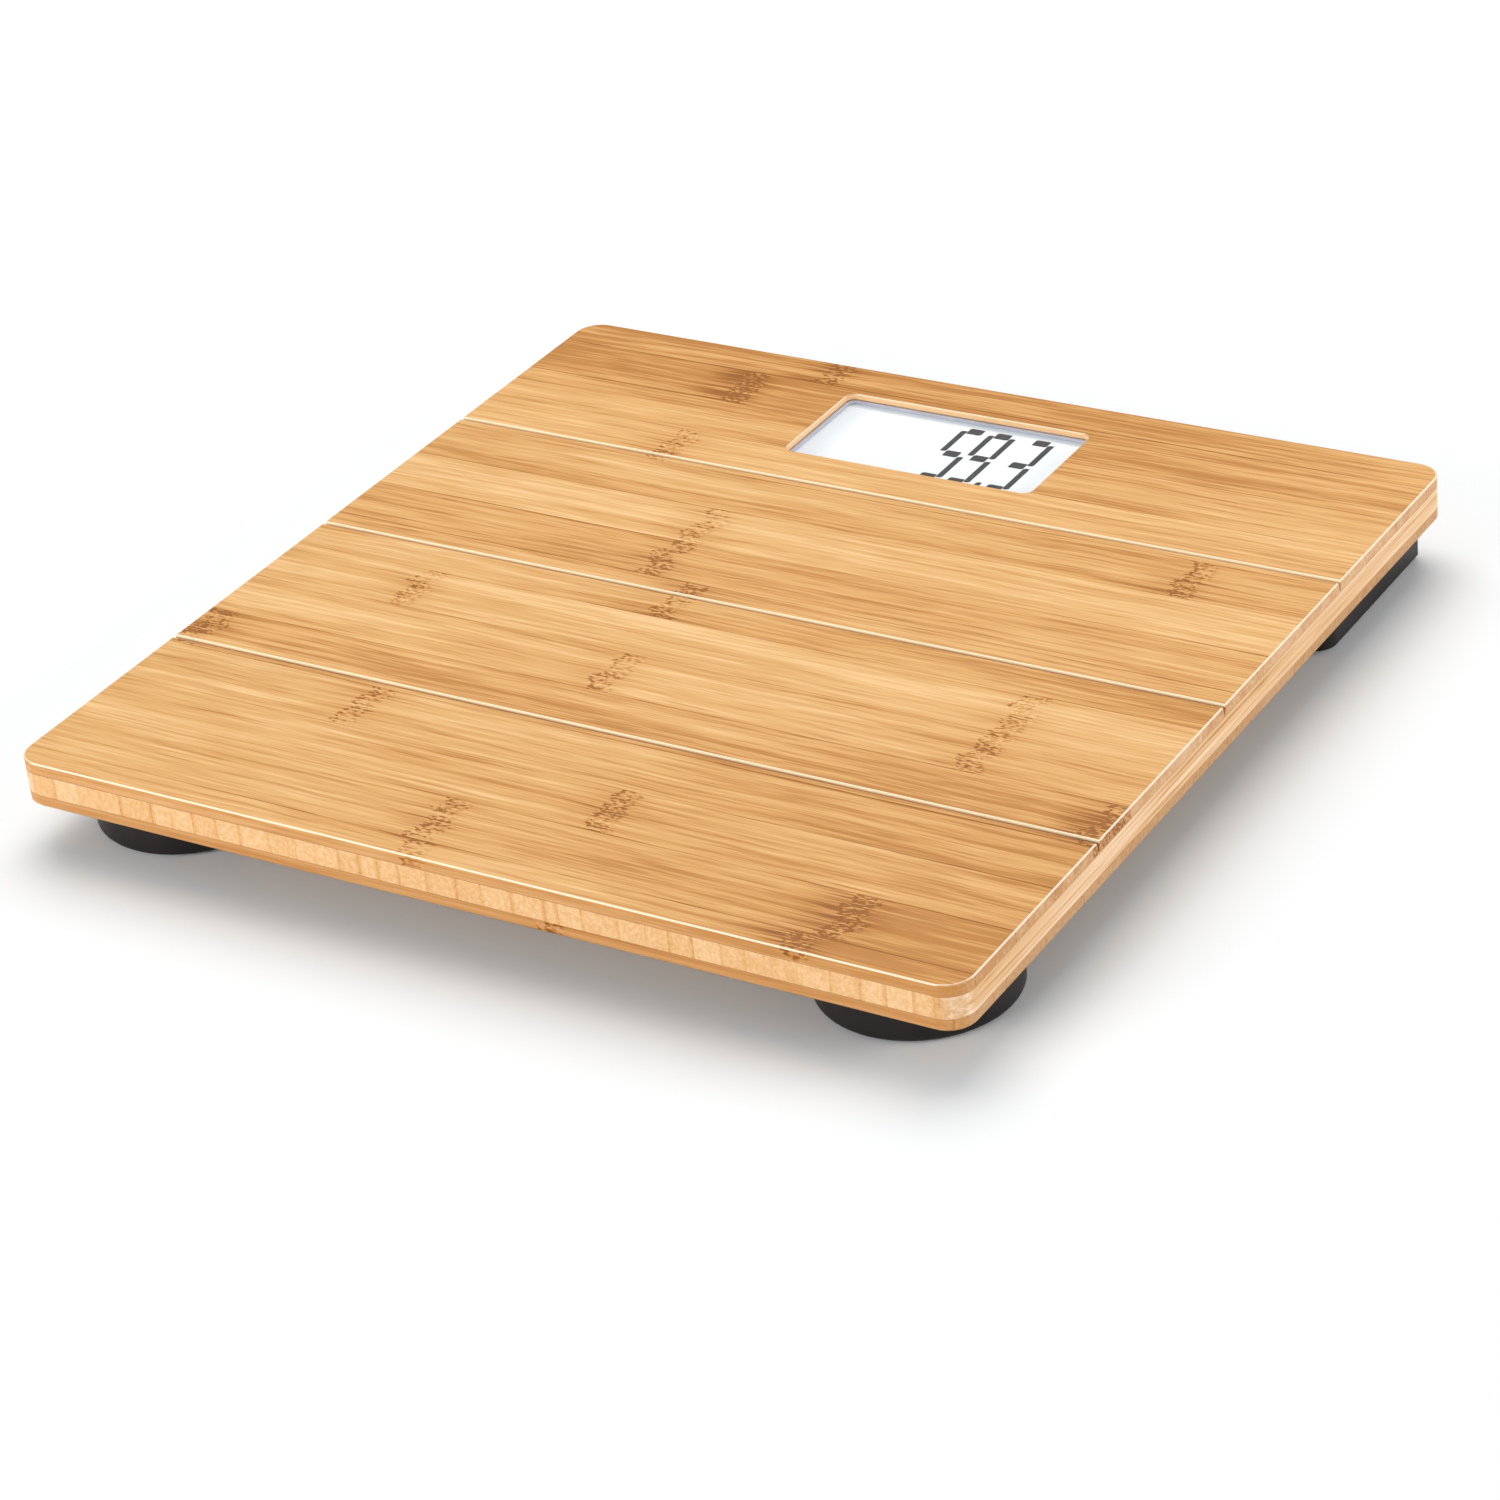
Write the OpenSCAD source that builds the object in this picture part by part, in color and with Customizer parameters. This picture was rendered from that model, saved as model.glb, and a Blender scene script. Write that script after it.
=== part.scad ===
// Digital bathroom scale with a three-ply bamboo platform.
// It stands on two round front feet and on two feet in a wide rear housing,
// which also holds the electronics. Each foot bears on its own load cell.
// Millimetres. The origin is on the floor under the middle of the platform,
// +Z is up, and +Y points to the rear, where the display is.

/* [Platform] */
// Width of the platform, left to right
platform_w = 302; // [296:1:330]
// Depth of the platform, front to back
platform_d = 302; // [296:1:330]
// Radius of the platform's corners
corner_r = 8; // [4:0.5:16]
// Thickness of the top ply, whose strips run left to right
top_ply_t = 3.5; // [3:0.1:5]
// Thickness of the core ply, whose strips run front to back
core_ply_t = 7; // [7:0.1:10]
// Thickness of the bottom ply
bottom_ply_t = 3.5; // [3.2:0.1:5]
// Chamfer on the platform's upper and lower edges
edge_chamfer = 0.6; // [0.3:0.1:1.5]
// Number of boards that the grooves divide the top into
board_count = 4; // [2:1:4]
// Width of each V groove at the surface
groove_w = 2.4; // [2:0.1:5]
// Depth of each V groove
groove_depth = 3.2; // [1:0.1:3.3]

/* [Display] */
// Width of the window in the top ply
window_w = 85; // [80:0.5:86]
// Depth of the window, front to back
window_d = 41.5; // [38:0.5:42]
// Radius of the window's corners
window_r = 3; // [2.5:0.1:5]
// Width of the bezel's lip that shows inside the window
bezel_lip = 1; // [0.5:0.1:2]
// How far the display's pocket reaches up into the top ply
ply_recess = 1.7; // [1:0.1:2]

/* [Feet] */
// Height of the platform's underside over the floor
ground_clearance = 14; // [14:0.5:18]
// Distance of each foot's centre from the platform's middle, left to right
foot_x = 118; // [112:1:118]
// Distance of each foot's centre from the platform's middle, front to back
foot_y = 116; // [112:1:116]
// Outer radius of a round front foot
front_foot_r = 28; // [26.5:0.5:30]
// How far a foot rises when its load cell is fully loaded
foot_travel = 0.4; // [0.2:0.1:0.5]

/* [Rear housing] */
// Gap between the housing and the platform's rear and side edges
housing_inset = 6; // [5:0.5:6.5]
// Depth of the housing, front to back
housing_d = 67; // [61:1:68]
// Height of the housing's floor over the ground
housing_lift = 1.5; // [1:0.1:2]
// Wall thickness of the housing
wall = 2; // [1.6:0.1:2.5]

/* [Hidden] */
$fn = 64;
eps = 0.01;

// Heights of the platform's layers
board_z = ground_clearance;
core_z = board_z + bottom_ply_t;
top_ply_z = core_z + core_ply_t;
board_top = top_ply_z + top_ply_t;

// Display stack, from the recess in the top ply down
window_y = platform_d / 2 - 38;
recess_z = top_ply_z + ply_recess;
pocket_w = 98;
pocket_d = 54;
pocket_r = 3;
module_clearance = 0.5;
module_w = pocket_w - 2 * module_clearance;
module_d = pocket_d - 2 * module_clearance;
gasket_t = 0.2;
bezel_plate_t = 0.8;
lens_t = 0.7;
lcd_w = 88;
lcd_d = 44;
lcd_rear_d = 37;
glass_t = 1.1;
reflector_t = 0.3;
zebra_t = 4.2;
zebra_w = 84;
zebra_d = 2;
pcb_t = 1.6;
bezel_top = recess_z - gasket_t;
lcd_top = bezel_top - bezel_plate_t;
opening_w = window_w - 2 * bezel_lip;
opening_d = window_d - 2 * bezel_lip;
opening_r = window_r - bezel_lip / 2;
reflector_z = lcd_top - 2 * glass_t - reflector_t;
zebra_z = lcd_top - glass_t - zebra_t;
pcb_z = zebra_z - pcb_t;
lcd_cavity_w = lcd_w + 0.6;
lcd_cavity_d = lcd_d + 0.6;
bezel_wall = (module_w - lcd_cavity_w) / 2;
pcb_screw_x = module_w / 2 - bezel_wall / 2;
pcb_screw_offsets = [-18, -4, 18];

// Rear housing
housing_w = platform_w - 2 * housing_inset;
housing_rear = platform_d / 2 - housing_inset;
housing_y = housing_rear - housing_d / 2;
housing_front_r = 7;
housing_rear_r = 2;
floor_z = housing_lift;
floor_top = floor_z + wall;
boss_x = 75;
boss_front_y = 98;
boss_rear_y = 137;
boss_r = 4.5;
boss_shelf_z = board_z - 3;
post_x = 40;
post_r = 2.5;

// Foot wells and load cells, with +X towards the side where the wires leave
well_r = 24.3;
roof_t = 2;
roof_z = board_z - roof_t;
spacer_t = 1;
cell_t = 2.2;
cell_w = 32;
cell_d = 26;
cell_top = roof_z - spacer_t;
cell_z = cell_top - cell_t;
button_t = 1.4;
load_z = cell_z - button_t;
tongue_w = 9;
tongue_head_r = 6.5;
ledge_r = 21.3;
ledge_z = 7;
ledge_t = 1;
cap_z = 0.6;
cap_floor_t = 2.2;
pad_t = 1.4;
front_pad_r = 22;
rear_cap_r = 23.6;
rear_pad_r = 19;
hook_r = 20.3;
hook_t = 0.6;
barb_reach = 1;
hook_w = 6;
hook_top = ledge_z + ledge_t + 1.2;
wire_hole_r = 2.2;
wire_hole_x = 17;

// Screws
wood_screw_r = 1.5;
wood_screw_top = board_z + 7;
wood_head_r = 3;
wood_head_t = 1.6;
hole_play = 0.05;
base_screw_ring = 18.5;
base_screw_angles = [60, 180, 300];
cell_screw_r = 1.2;
cell_screw_at = [13.5, 10.75];
cell_screw_top = board_z - 0.6;
pcb_screw_r = 0.9;
pcb_screw_l = 6;

// Wires: three side by side in a routed channel
wire_r = 0.45;
wire_pitch = 1.2;
wire_z = board_z + 1.3;
wire_start_z = cell_top + 0.5;
channel_w = 5;
channel_t = 2.6;
cover_w = 9;
cover_t = 0.6;
crossing_y = 89;
solder_x = 43;

// Battery and its door
battery_x = 22;
battery_y = 112;
cell_r = 10;
coin_t = 3.2;
coin_z = 4.2;
battery_bore_r = 10.6;
battery_tube_r = 12.6;
battery_roof_z = 9;
battery_roof_t = 1.5;
battery_lead_offsets = [-5, 9];
flange_w = 36;
flange_d = 32;
flange_t = 1.5;
door_w = 29.4;
door_l = 25;
door_t = 1.9;
door_gap = 0.3;
barrel_r = 1.2;
hinge_y = battery_y - 12;
hinge_z = floor_z + barrel_r;
hinge_pin_r = 0.8;
hinge_pin_l = 1.1;

// Unit button and its switch
button_x = -30;
button_y = 100;
button_r = 4;
button_flange_r = 5.2;
button_stem_r = 2;
button_travel = 0.5;
switch_w = 6;
switch_t = 3.5;
plunger_r = 1.7;
plunger_l = 2.5;
plunger_z = pcb_z - switch_t - 1;

// Feet as [side, end, angle that the wires leave at]; side -1 is left, end -1 is front
FRONT_LEFT = [-1, -1, 90];
FRONT_RIGHT = [1, -1, 90];
REAR_LEFT = [-1, 1, 0];
REAR_RIGHT = [1, 1, 180];
FEET = [FRONT_LEFT, FRONT_RIGHT, REAR_LEFT, REAR_RIGHT];

// ---- shared shapes ----

module rounded_rect(w, d, r) {
    square([w - 2 * r, d], center = true);
    square([w, d - 2 * r], center = true);
    for (sx = [-1, 1], sy = [-1, 1])
        translate([sx * (w / 2 - r), sy * (d / 2 - r)]) circle(r);
}

module plate(w, d, t, r) {
    linear_extrude(t) rounded_rect(w, d, r);
}

// A rounded plate as thick as its chamfer, narrower at the top
module chamfered_layer(w, d, r, c) {
    rotate([90, 0, 90]) linear_extrude(w - 2 * r, center = true)
        polygon([[-d / 2, 0], [d / 2, 0], [d / 2 - c, c], [-d / 2 + c, c]]);
    rotate([90, 0, 0]) linear_extrude(d - 2 * r, center = true)
        polygon([[-w / 2, 0], [w / 2, 0], [w / 2 - c, c], [-w / 2 + c, c]]);
    for (sx = [-1, 1], sy = [-1, 1])
        translate([sx * (w / 2 - r), sy * (d / 2 - r), 0]) cylinder(h = c, r1 = r, r2 = r - c);
}

module ring(outer, inner, t) {
    difference() {
        cylinder(h = t, r = outer);
        translate([0, 0, -1]) cylinder(h = t + 2, r = inner);
    }
}

// Puts its children at a foot's centre, with +X towards its wires' exit
module at_foot(foot) {
    translate([foot[0] * foot_x, foot[1] * foot_y, 0]) rotate([0, 0, foot[2]]) children();
}

// Puts its children at each screw of a foot's base
module at_base_screws() {
    for (a = base_screw_angles) rotate([0, 0, a]) translate([base_screw_ring, 0, 0]) children();
}

module at_cell_screws() {
    for (s = [-1, 1]) translate([s * cell_screw_at[0], s * cell_screw_at[1], 0]) children();
}

module at_bosses() {
    for (sx = [-1, 1], y = [boss_front_y, boss_rear_y]) translate([sx * boss_x, y, 0]) children();
}

module at_pcb_screws() {
    for (sx = [-1, 1], dy = pcb_screw_offsets)
        translate([sx * pcb_screw_x, window_y + dy, 0]) children();
}

// A cross recess that a screwdriver turns
module cross_recess(size, depth) {
    for (a = [0, 90]) rotate([0, 0, a])
        translate([-size / 2, -size / 10, -eps]) cube([size, size / 5, depth]);
}

// Countersunk screw, head down
module countersunk_screw(z) {
    translate([0, 0, z]) difference() {
        union() {
            cylinder(h = wood_head_t, r1 = wood_head_r, r2 = wood_screw_r);
            cylinder(h = wood_screw_top - z, r = wood_screw_r);
        }
        cross_recess(wood_head_r * 1.1, 1);
    }
}

// Pan-head screw, head down, whose head meets the surface at z
module pan_screw(z, top, r) {
    head_t = r * 1.3;
    translate([0, 0, z - head_t]) difference() {
        union() {
            cylinder(h = head_t, r = r * 2);
            cylinder(h = top - z + head_t, r = r);
        }
        cross_recess(r * 2, head_t * 0.6);
    }
}

// Tube along a list of points, with a ball at each bend
module wire(points) {
    for (i = [0 : len(points) - 2]) {
        step = points[i + 1] - points[i];
        length = norm(step);
        translate(points[i])
            rotate([0, acos(step[2] / length), atan2(step[1], step[0])])
                cylinder(h = length, r = wire_r, $fn = 16);
        if (i > 0) translate(points[i]) sphere(r = wire_r, $fn = 16);
    }
}

// ---- bamboo platform ----

module board_pocket() {
    translate([0, window_y, board_z - 1])
        plate(pocket_w, pocket_d, recess_z - board_z + 1, pocket_r);
}

module pilot_hole() {
    translate([0, 0, board_z - 1])
        cylinder(h = wood_screw_top - board_z + 1, r = wood_screw_r + hole_play);
}

module board_pilot_holes() {
    for (foot = FEET) at_foot(foot) at_base_screws() pilot_hole();
    at_bosses() pilot_hole();
}

module wire_channels() {
    for (side = [-1, 1]) {
        front_end = -foot_y + wire_hole_x - channel_w / 2;
        translate([side * foot_x - channel_w / 2, front_end, board_z - 1])
            cube([channel_w, crossing_y + channel_w / 2 - front_end, channel_t + 1]);
        for (y = [crossing_y, foot_y]) {
            outer = y == foot_y ? foot_x - wire_hole_x + channel_w / 2 : foot_x;
            x0 = side > 0 ? pocket_w / 2 - 1 : -outer;
            translate([x0, y - channel_w / 2, board_z - 1])
                cube([outer - pocket_w / 2 + 1, channel_w, channel_t + 1]);
        }
    }
}

module cover_strip(side) {
    front_end = -foot_y + well_r + 0.2;
    translate([side * foot_x - cover_w / 2, front_end, board_z])
        cube([cover_w, housing_rear - housing_d - 0.2 - front_end, cover_t]);
}

module platform_top_ply() {
    color("burlywood") difference() {
        union() {
            translate([0, 0, top_ply_z]) plate(platform_w, platform_d, top_ply_t - edge_chamfer, corner_r);
            translate([0, 0, board_top - edge_chamfer])
                chamfered_layer(platform_w, platform_d, corner_r, edge_chamfer);
        }
        board_pocket();
        translate([0, window_y, top_ply_z - 1]) plate(window_w, window_d, top_ply_t + 2, window_r);
        translate([0, window_y, board_top + eps]) mirror([0, 0, 1])
            chamfered_layer(window_w + 0.8, window_d + 0.8, window_r + 0.4, 0.4);
        for (i = [1 : board_count - 1])
            translate([0, platform_d * (i / board_count - 0.5), board_top]) v_groove();
    }
}

module v_groove() {
    over = 1.1;
    rotate([90, 0, 90]) linear_extrude(platform_w + 2, center = true) polygon([
        [-groove_w / 2 * over, groove_depth * (over - 1)],
        [groove_w / 2 * over, groove_depth * (over - 1)],
        [0, -groove_depth]
    ]);
}

module platform_core_ply() {
    color("wheat") difference() {
        translate([0, 0, core_z]) plate(platform_w, platform_d, core_ply_t, corner_r);
        board_pocket();
        board_pilot_holes();
    }
}

module platform_bottom_ply() {
    color("tan") difference() {
        union() {
            translate([0, 0, board_z + edge_chamfer])
                plate(platform_w, platform_d, bottom_ply_t - edge_chamfer, corner_r);
            translate([0, 0, board_z + edge_chamfer]) mirror([0, 0, 1])
                chamfered_layer(platform_w, platform_d, corner_r, edge_chamfer);
        }
        board_pocket();
        board_pilot_holes();
        wire_channels();
        for (side = [-1, 1]) cover_strip(side);
    }
}

module wire_cover(side) {
    color("dimgray") cover_strip(side);
}

// ---- display ----

module display_gasket() {
    color("dimgray") translate([0, window_y, bezel_top]) difference() {
        plate(module_w - 1, module_d - 1, gasket_t, pocket_r);
        translate([0, 0, -1]) plate(window_w + 2.5, window_d + 2.5, gasket_t + 2, window_r);
    }
}

module display_bezel() {
    skirt_z = pcb_z + pcb_t;
    color("gainsboro") difference() {
        translate([0, window_y, skirt_z]) plate(module_w, module_d, bezel_top - skirt_z, pocket_r);
        translate([0, window_y, skirt_z - 1])
            plate(lcd_cavity_w, lcd_cavity_d, lcd_top - skirt_z + 1, 0.8);
        translate([0, window_y, skirt_z])
            plate(opening_w, opening_d, bezel_top - skirt_z + 1, opening_r);
        at_pcb_screws() translate([0, 0, pcb_z])
            cylinder(h = pcb_screw_l + 0.3, r = pcb_screw_r + hole_play);
    }
}

// Clear plate on the LCD that fills the bezel's opening
module display_lens() {
    play = 0.1;
    color("lightcyan", 0.4) translate([0, window_y, lcd_top])
        plate(opening_w - 2 * play, opening_d - 2 * play, lens_t, opening_r - play);
}

module lcd_panel() {
    color("whitesmoke") translate([0, window_y, 0]) {
        translate([0, 0, lcd_top - glass_t]) plate(lcd_w, lcd_d, glass_t, 0.5);
        translate([0, 0, lcd_top - 2 * glass_t]) plate(lcd_w, lcd_rear_d, glass_t, 0.5);
    }
}

module lcd_reflector() {
    color("silver") translate([0, window_y, reflector_z]) plate(lcd_w, lcd_rear_d, reflector_t, 0.5);
}

module zebra_connectors() {
    offset_y = (lcd_d - zebra_d) / 2 - 0.6;
    color("slategray") for (s = [-1, 1])
        translate([-zebra_w / 2, window_y + s * offset_y - zebra_d / 2, zebra_z])
            cube([zebra_w, zebra_d, zebra_t]);
}

module circuit_board() {
    color("darkgreen") difference() {
        translate([0, window_y, pcb_z]) plate(module_w, module_d, pcb_t, pocket_r);
        at_pcb_screws() translate([0, 0, pcb_z - 1]) cylinder(h = pcb_t + 2, r = pcb_screw_r + hole_play);
    }
}

module pcb_screws() {
    color("silver") at_pcb_screws() pan_screw(pcb_z, pcb_z + pcb_screw_l, pcb_screw_r);
}

// A row of small surface-mount parts that hang under the board
module chip_row(x, y, count, pitch) {
    for (i = [0 : count - 1]) translate([x + i * pitch, y, pcb_z - 0.6]) cube([1.6, 0.8, 0.6]);
}

module pcb_components() {
    color("black") {
        translate([-8, 120, pcb_z - 1.4]) cylinder(h = 1.4, r1 = 4, r2 = 5);
        translate([-24, 122, pcb_z - 3]) cube([8, 3.6, 3]);
        for (x = [4, 12]) translate([x, 132, pcb_z - 4.5]) cylinder(h = 4.5, r = 2.5);
        chip_row(-20, 112, 6, 3);
        chip_row(-20, 108, 6, 3);
        chip_row(14, 92, 4, 3);
    }
}

// ---- unit button and switch ----

module unit_switch_body() {
    color("black") difference() {
        translate([button_x - switch_w / 2, button_y - switch_w / 2, pcb_z - switch_t])
            cube([switch_w, switch_w, switch_t]);
        translate([button_x, button_y, pcb_z - switch_t - 1])
            cylinder(h = plunger_l + button_travel + 0.3, r = plunger_r + 0.1);
    }
}

module unit_switch_plunger() {
    color("dimgray") translate([button_x, button_y, plunger_z])
        cylinder(h = plunger_l, r = plunger_r);
}

module unit_button() {
    flange_z = floor_top + 0.05;
    color("dimgray") translate([button_x, button_y, 0]) difference() {
        union() {
            translate([0, 0, floor_z + 0.4]) cylinder(h = flange_z - floor_z, r = button_r);
            translate([0, 0, flange_z]) cylinder(h = 0.8, r = button_flange_r);
            translate([0, 0, flange_z]) cylinder(h = plunger_z - flange_z, r = button_stem_r);
        }
        translate([0, 0, floor_z + 0.4 - 18 + 0.5]) sphere(r = 18);
    }
}

// ---- rear housing ----

module housing_outline(inset) {
    w = housing_w - 2 * inset;
    d = housing_d - 2 * inset;
    translate([0, housing_y]) difference() {
        square([w, d], center = true);
        for (sx = [-1, 1], sy = [-1, 1]) {
            r = (sy < 0 ? housing_front_r : housing_rear_r) - inset * 0.75;
            translate([sx * w / 2, sy * d / 2]) difference() {
                square(2 * r, center = true);
                translate([-sx * r, -sy * r]) circle(r);
            }
        }
    }
}

// Parts of a foot well that front bases and the rear housing share
module cell_spacers() {
    for (sx = [-1, 1], sy = [-1, 1])
        translate([sx * cell_screw_at[0] - 2.5, sy * cell_screw_at[1] - 2.25, cell_top])
            cube([5, 4.5, spacer_t + eps]);
}

module well_holes() {
    at_base_screws() {
        translate([0, 0, roof_z - 1]) cylinder(h = roof_t + 2, r = wood_screw_r + hole_play);
        translate([0, 0, roof_z - eps])
            cylinder(h = wood_head_t, r1 = wood_head_r + hole_play, r2 = wood_screw_r + hole_play);
    }
    at_cell_screws() translate([0, 0, cell_top - 1])
        cylinder(h = cell_screw_top - cell_top + 1, r = cell_screw_r + hole_play);
    translate([wire_hole_x, 0, roof_z - 1]) cylinder(h = roof_t + 2, r = wire_hole_r);
}

module battery_well() {
    translate([battery_x, battery_y, floor_top]) {
        translate([-flange_w / 2, -flange_d / 2, 0]) cube([flange_w, flange_d, flange_t]);
        cylinder(h = battery_roof_z + battery_roof_t - floor_top, r = battery_tube_r);
    }
}

module battery_well_cut() {
    translate([battery_x, battery_y, 0]) cylinder(h = battery_roof_z, r = battery_bore_r);
    for (dx = battery_lead_offsets) translate([battery_x + dx, battery_y, battery_roof_z - 1])
        cylinder(h = battery_roof_t + 2, r = wire_r + 0.1);
    translate([battery_x - door_w / 2 - door_gap, hinge_y - barrel_r - door_gap, floor_z - 1])
        cube([door_w + 2 * door_gap, door_l + barrel_r + 2 * door_gap, wall + 1]);
    translate([battery_x - door_w / 2 - door_gap, hinge_y - barrel_r - door_gap, floor_z])
        cube([door_w + 2 * door_gap, 2 * (barrel_r + door_gap), 2 * barrel_r + door_gap]);
    translate([battery_x - door_w / 2 - hinge_pin_l - 0.2, hinge_y, hinge_z]) rotate([0, 90, 0])
        cylinder(h = door_w + 2 * hinge_pin_l + 0.4, r = hinge_pin_r + 0.07);
    translate([battery_x, hinge_y + door_l + 1, floor_z - 4]) sphere(r = 6);
}

module rear_housing() {
    color("black") difference() {
        union() {
            difference() {
                translate([0, 0, floor_z]) linear_extrude(board_z - floor_z) housing_outline(0);
                translate([0, 0, floor_top]) linear_extrude(board_z) housing_outline(wall);
            }
            for (foot = [REAR_LEFT, REAR_RIGHT]) at_foot(foot)
                translate([0, 0, floor_z]) cylinder(h = board_z - floor_z, r = well_r + wall);
            at_bosses() translate([0, 0, floor_z]) cylinder(h = board_z - floor_z, r = boss_r);
            for (sx = [-1, 1], dy = [-18, 18])
                translate([sx * post_x, window_y + dy, floor_z]) cylinder(h = pcb_z - floor_z, r = post_r);
            translate([button_x, button_y, floor_z]) cylinder(h = 6.5, r = button_flange_r + 1.8);
            battery_well();
        }
        for (foot = [REAR_LEFT, REAR_RIGHT]) at_foot(foot) {
            difference() {
                translate([0, 0, floor_z - 1]) cylinder(h = roof_z - floor_z + 1, r = well_r);
                cell_spacers();
                translate([0, 0, ledge_z]) ring(well_r + 1, ledge_r, ledge_t);
            }
            well_holes();
        }
        at_bosses() {
            translate([0, 0, floor_z - 1]) cylinder(h = boss_shelf_z - floor_z + 1, r = 3.2);
            translate([0, 0, floor_z]) cylinder(h = board_z, r = wood_screw_r + 0.1);
        }
        translate([button_x, button_y, floor_top]) cylinder(h = 10, r = button_flange_r + 0.3);
        translate([button_x, button_y, floor_z - 1]) cylinder(h = 10, r = button_r + 0.15);
        battery_well_cut();
    }
}

module housing_screws() {
    color("silver") at_bosses() pan_screw(boss_shelf_z, wood_screw_top, wood_screw_r);
}

module foot_screws() {
    color("silver") for (foot = FEET) at_foot(foot) at_base_screws() countersunk_screw(roof_z);
}

module load_cell_screws() {
    color("silver") for (foot = FEET) at_foot(foot) at_cell_screws()
        pan_screw(cell_z, cell_screw_top, cell_screw_r);
}

// ---- battery ----

module battery_cell() {
    color("lightgray") translate([battery_x, battery_y, coin_z]) {
        cylinder(h = coin_t - 0.4, r = cell_r);
        cylinder(h = coin_t, r = cell_r - 1.2);
    }
}

// Leaf spring from the well's roof down to the cell
module battery_contact_negative() {
    coin_top = coin_z + coin_t;
    leaf = 0.3;
    color("gold") translate([battery_x, battery_y + 2.5, 0]) rotate([90, 0, 0]) linear_extrude(5)
        polygon([
            [-7, battery_roof_z], [-2, battery_roof_z], [3, coin_top + leaf], [6, coin_top + 2 * leaf],
            [6, coin_top + leaf], [3, coin_top], [-2, battery_roof_z - leaf], [-7, battery_roof_z - leaf]
        ]);
}

// Strip against the side of the cell, with a tab under the well's roof
module battery_contact_positive() {
    strip = 0.3;
    near = cell_r + 0.05;
    color("gold") translate([battery_x, battery_y + 2, 0]) rotate([90, 0, 0]) linear_extrude(4)
        polygon([
            [near, 4.6], [near + strip, 4.6], [near + strip, battery_roof_z], [7, battery_roof_z],
            [7, battery_roof_z - strip], [near, battery_roof_z - strip]
        ]);
}

module battery_leads() {
    bend_z = battery_roof_z + battery_roof_t + 2;
    color("firebrick") for (dx = battery_lead_offsets)
        wire([
            [battery_x + dx, battery_y, battery_roof_z],
            [battery_x + dx, battery_y, bend_z],
            [battery_x + dx, battery_y + 6, bend_z],
            [battery_x + dx, battery_y + 6, pcb_z]
        ]);
}

// Door on two short pins, with a bump on each side that snaps it shut
module battery_door() {
    color("dimgray") {
        difference() {
            union() {
                translate([battery_x - door_w / 2, hinge_y, floor_z]) cube([door_w, door_l, door_t]);
                translate([battery_x - door_w / 2, hinge_y, hinge_z]) rotate([0, 90, 0])
                    cylinder(h = door_w, r = barrel_r);
                translate([battery_x - door_w / 2 - hinge_pin_l, hinge_y, hinge_z]) rotate([0, 90, 0])
                    cylinder(h = door_w + 2 * hinge_pin_l, r = hinge_pin_r);
                for (sx = [-1, 1]) {
                    translate([battery_x + sx * (door_w / 2 - 0.4), hinge_y + door_l - 4, floor_z + 1])
                        sphere(r = 0.6);
                    translate([battery_x + sx * 4 - 0.5, battery_y - 6, floor_z])
                        cube([1, 12, coin_z - floor_z - 0.1]);
                }
            }
            for (i = [0 : 4])
                translate([battery_x - 6, hinge_y + door_l - 3 - 1.6 * i, floor_z - 0.4])
                    rotate([0, 90, 0]) cylinder(h = 12, r = 0.7);
        }
    }
}

// ---- load cells and feet ----

module load_cell() {
    color("lightsteelblue") {
        difference() {
            translate([0, 0, cell_z]) linear_extrude(cell_t) difference() {
                rounded_rect(cell_w, cell_d, 3);
                difference() {
                    square([23, 18], center = true);
                    circle(tongue_head_r);
                    translate([0, -tongue_w / 2]) square([12, tongue_w]);
                }
            }
            at_cell_screws() translate([0, 0, cell_z - 1])
                cylinder(h = cell_t + 2, r = cell_screw_r + hole_play);
        }
        translate([0, 0, load_z]) cylinder(h = button_t, r = 5);
    }
}

module strain_gauge() {
    color("ivory") translate([4.5, -3, cell_top]) cube([7, 6, 0.7]);
}

module foot_base() {
    ring_z = 5.5;
    color("black") difference() {
        union() {
            translate([0, 0, roof_z]) cylinder(h = roof_t, r = well_r);
            translate([0, 0, ring_z]) ring(well_r, well_r - 2, roof_z - ring_z + eps);
            translate([0, 0, ledge_z]) ring(well_r - 1, ledge_r, ledge_t);
            cell_spacers();
        }
        well_holes();
    }
}

// Post under the load cell, and two hooks that keep the cap on its ledge
module cap_fittings() {
    translate([0, 0, cap_z + 1]) cylinder(h = load_z - cap_z - 1, r = 6);
    for (a = [90, 270]) rotate([0, 0, a]) {
        translate([hook_r, -hook_w / 2, cap_z + 1]) cube([hook_t, hook_w, hook_top - cap_z - 1]);
        translate([hook_r, 0, ledge_z + ledge_t + 0.15]) rotate([90, 0, 0])
            linear_extrude(hook_w, center = true)
                polygon([[0, 0], [hook_t + barb_reach, 0], [hook_t, 1.05], [0, 1.05]]);
    }
}

// Half section of a cap, with a rounded lower edge
module cap_section(r, wall_t, top, edge_r) {
    difference() {
        union() {
            translate([0, cap_z]) square([r, cap_floor_t]);
            translate([r - wall_t, cap_z]) square([wall_t, top - cap_z]);
        }
        translate([r - edge_r, cap_z]) difference() {
            translate([0, -1]) square([edge_r + 1, edge_r + 1]);
            translate([0, edge_r]) circle(edge_r);
        }
    }
}

module foot_cap(r, wall_t, top, edge_r, pad_r) {
    color("black") difference() {
        union() {
            rotate_extrude($fn = 96) cap_section(r, wall_t, top, edge_r);
            cap_fittings();
        }
        translate([0, 0, cap_z - 1]) cylinder(h = pad_t - cap_z + 1, r = pad_r + 0.05);
    }
}

module front_foot_cap() {
    foot_cap(front_foot_r, 2, board_z - 2 * foot_travel, 1.5, front_pad_r);
}

module rear_foot_cap() {
    foot_cap(rear_cap_r, 2, 6, 1, rear_pad_r);
}

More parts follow.
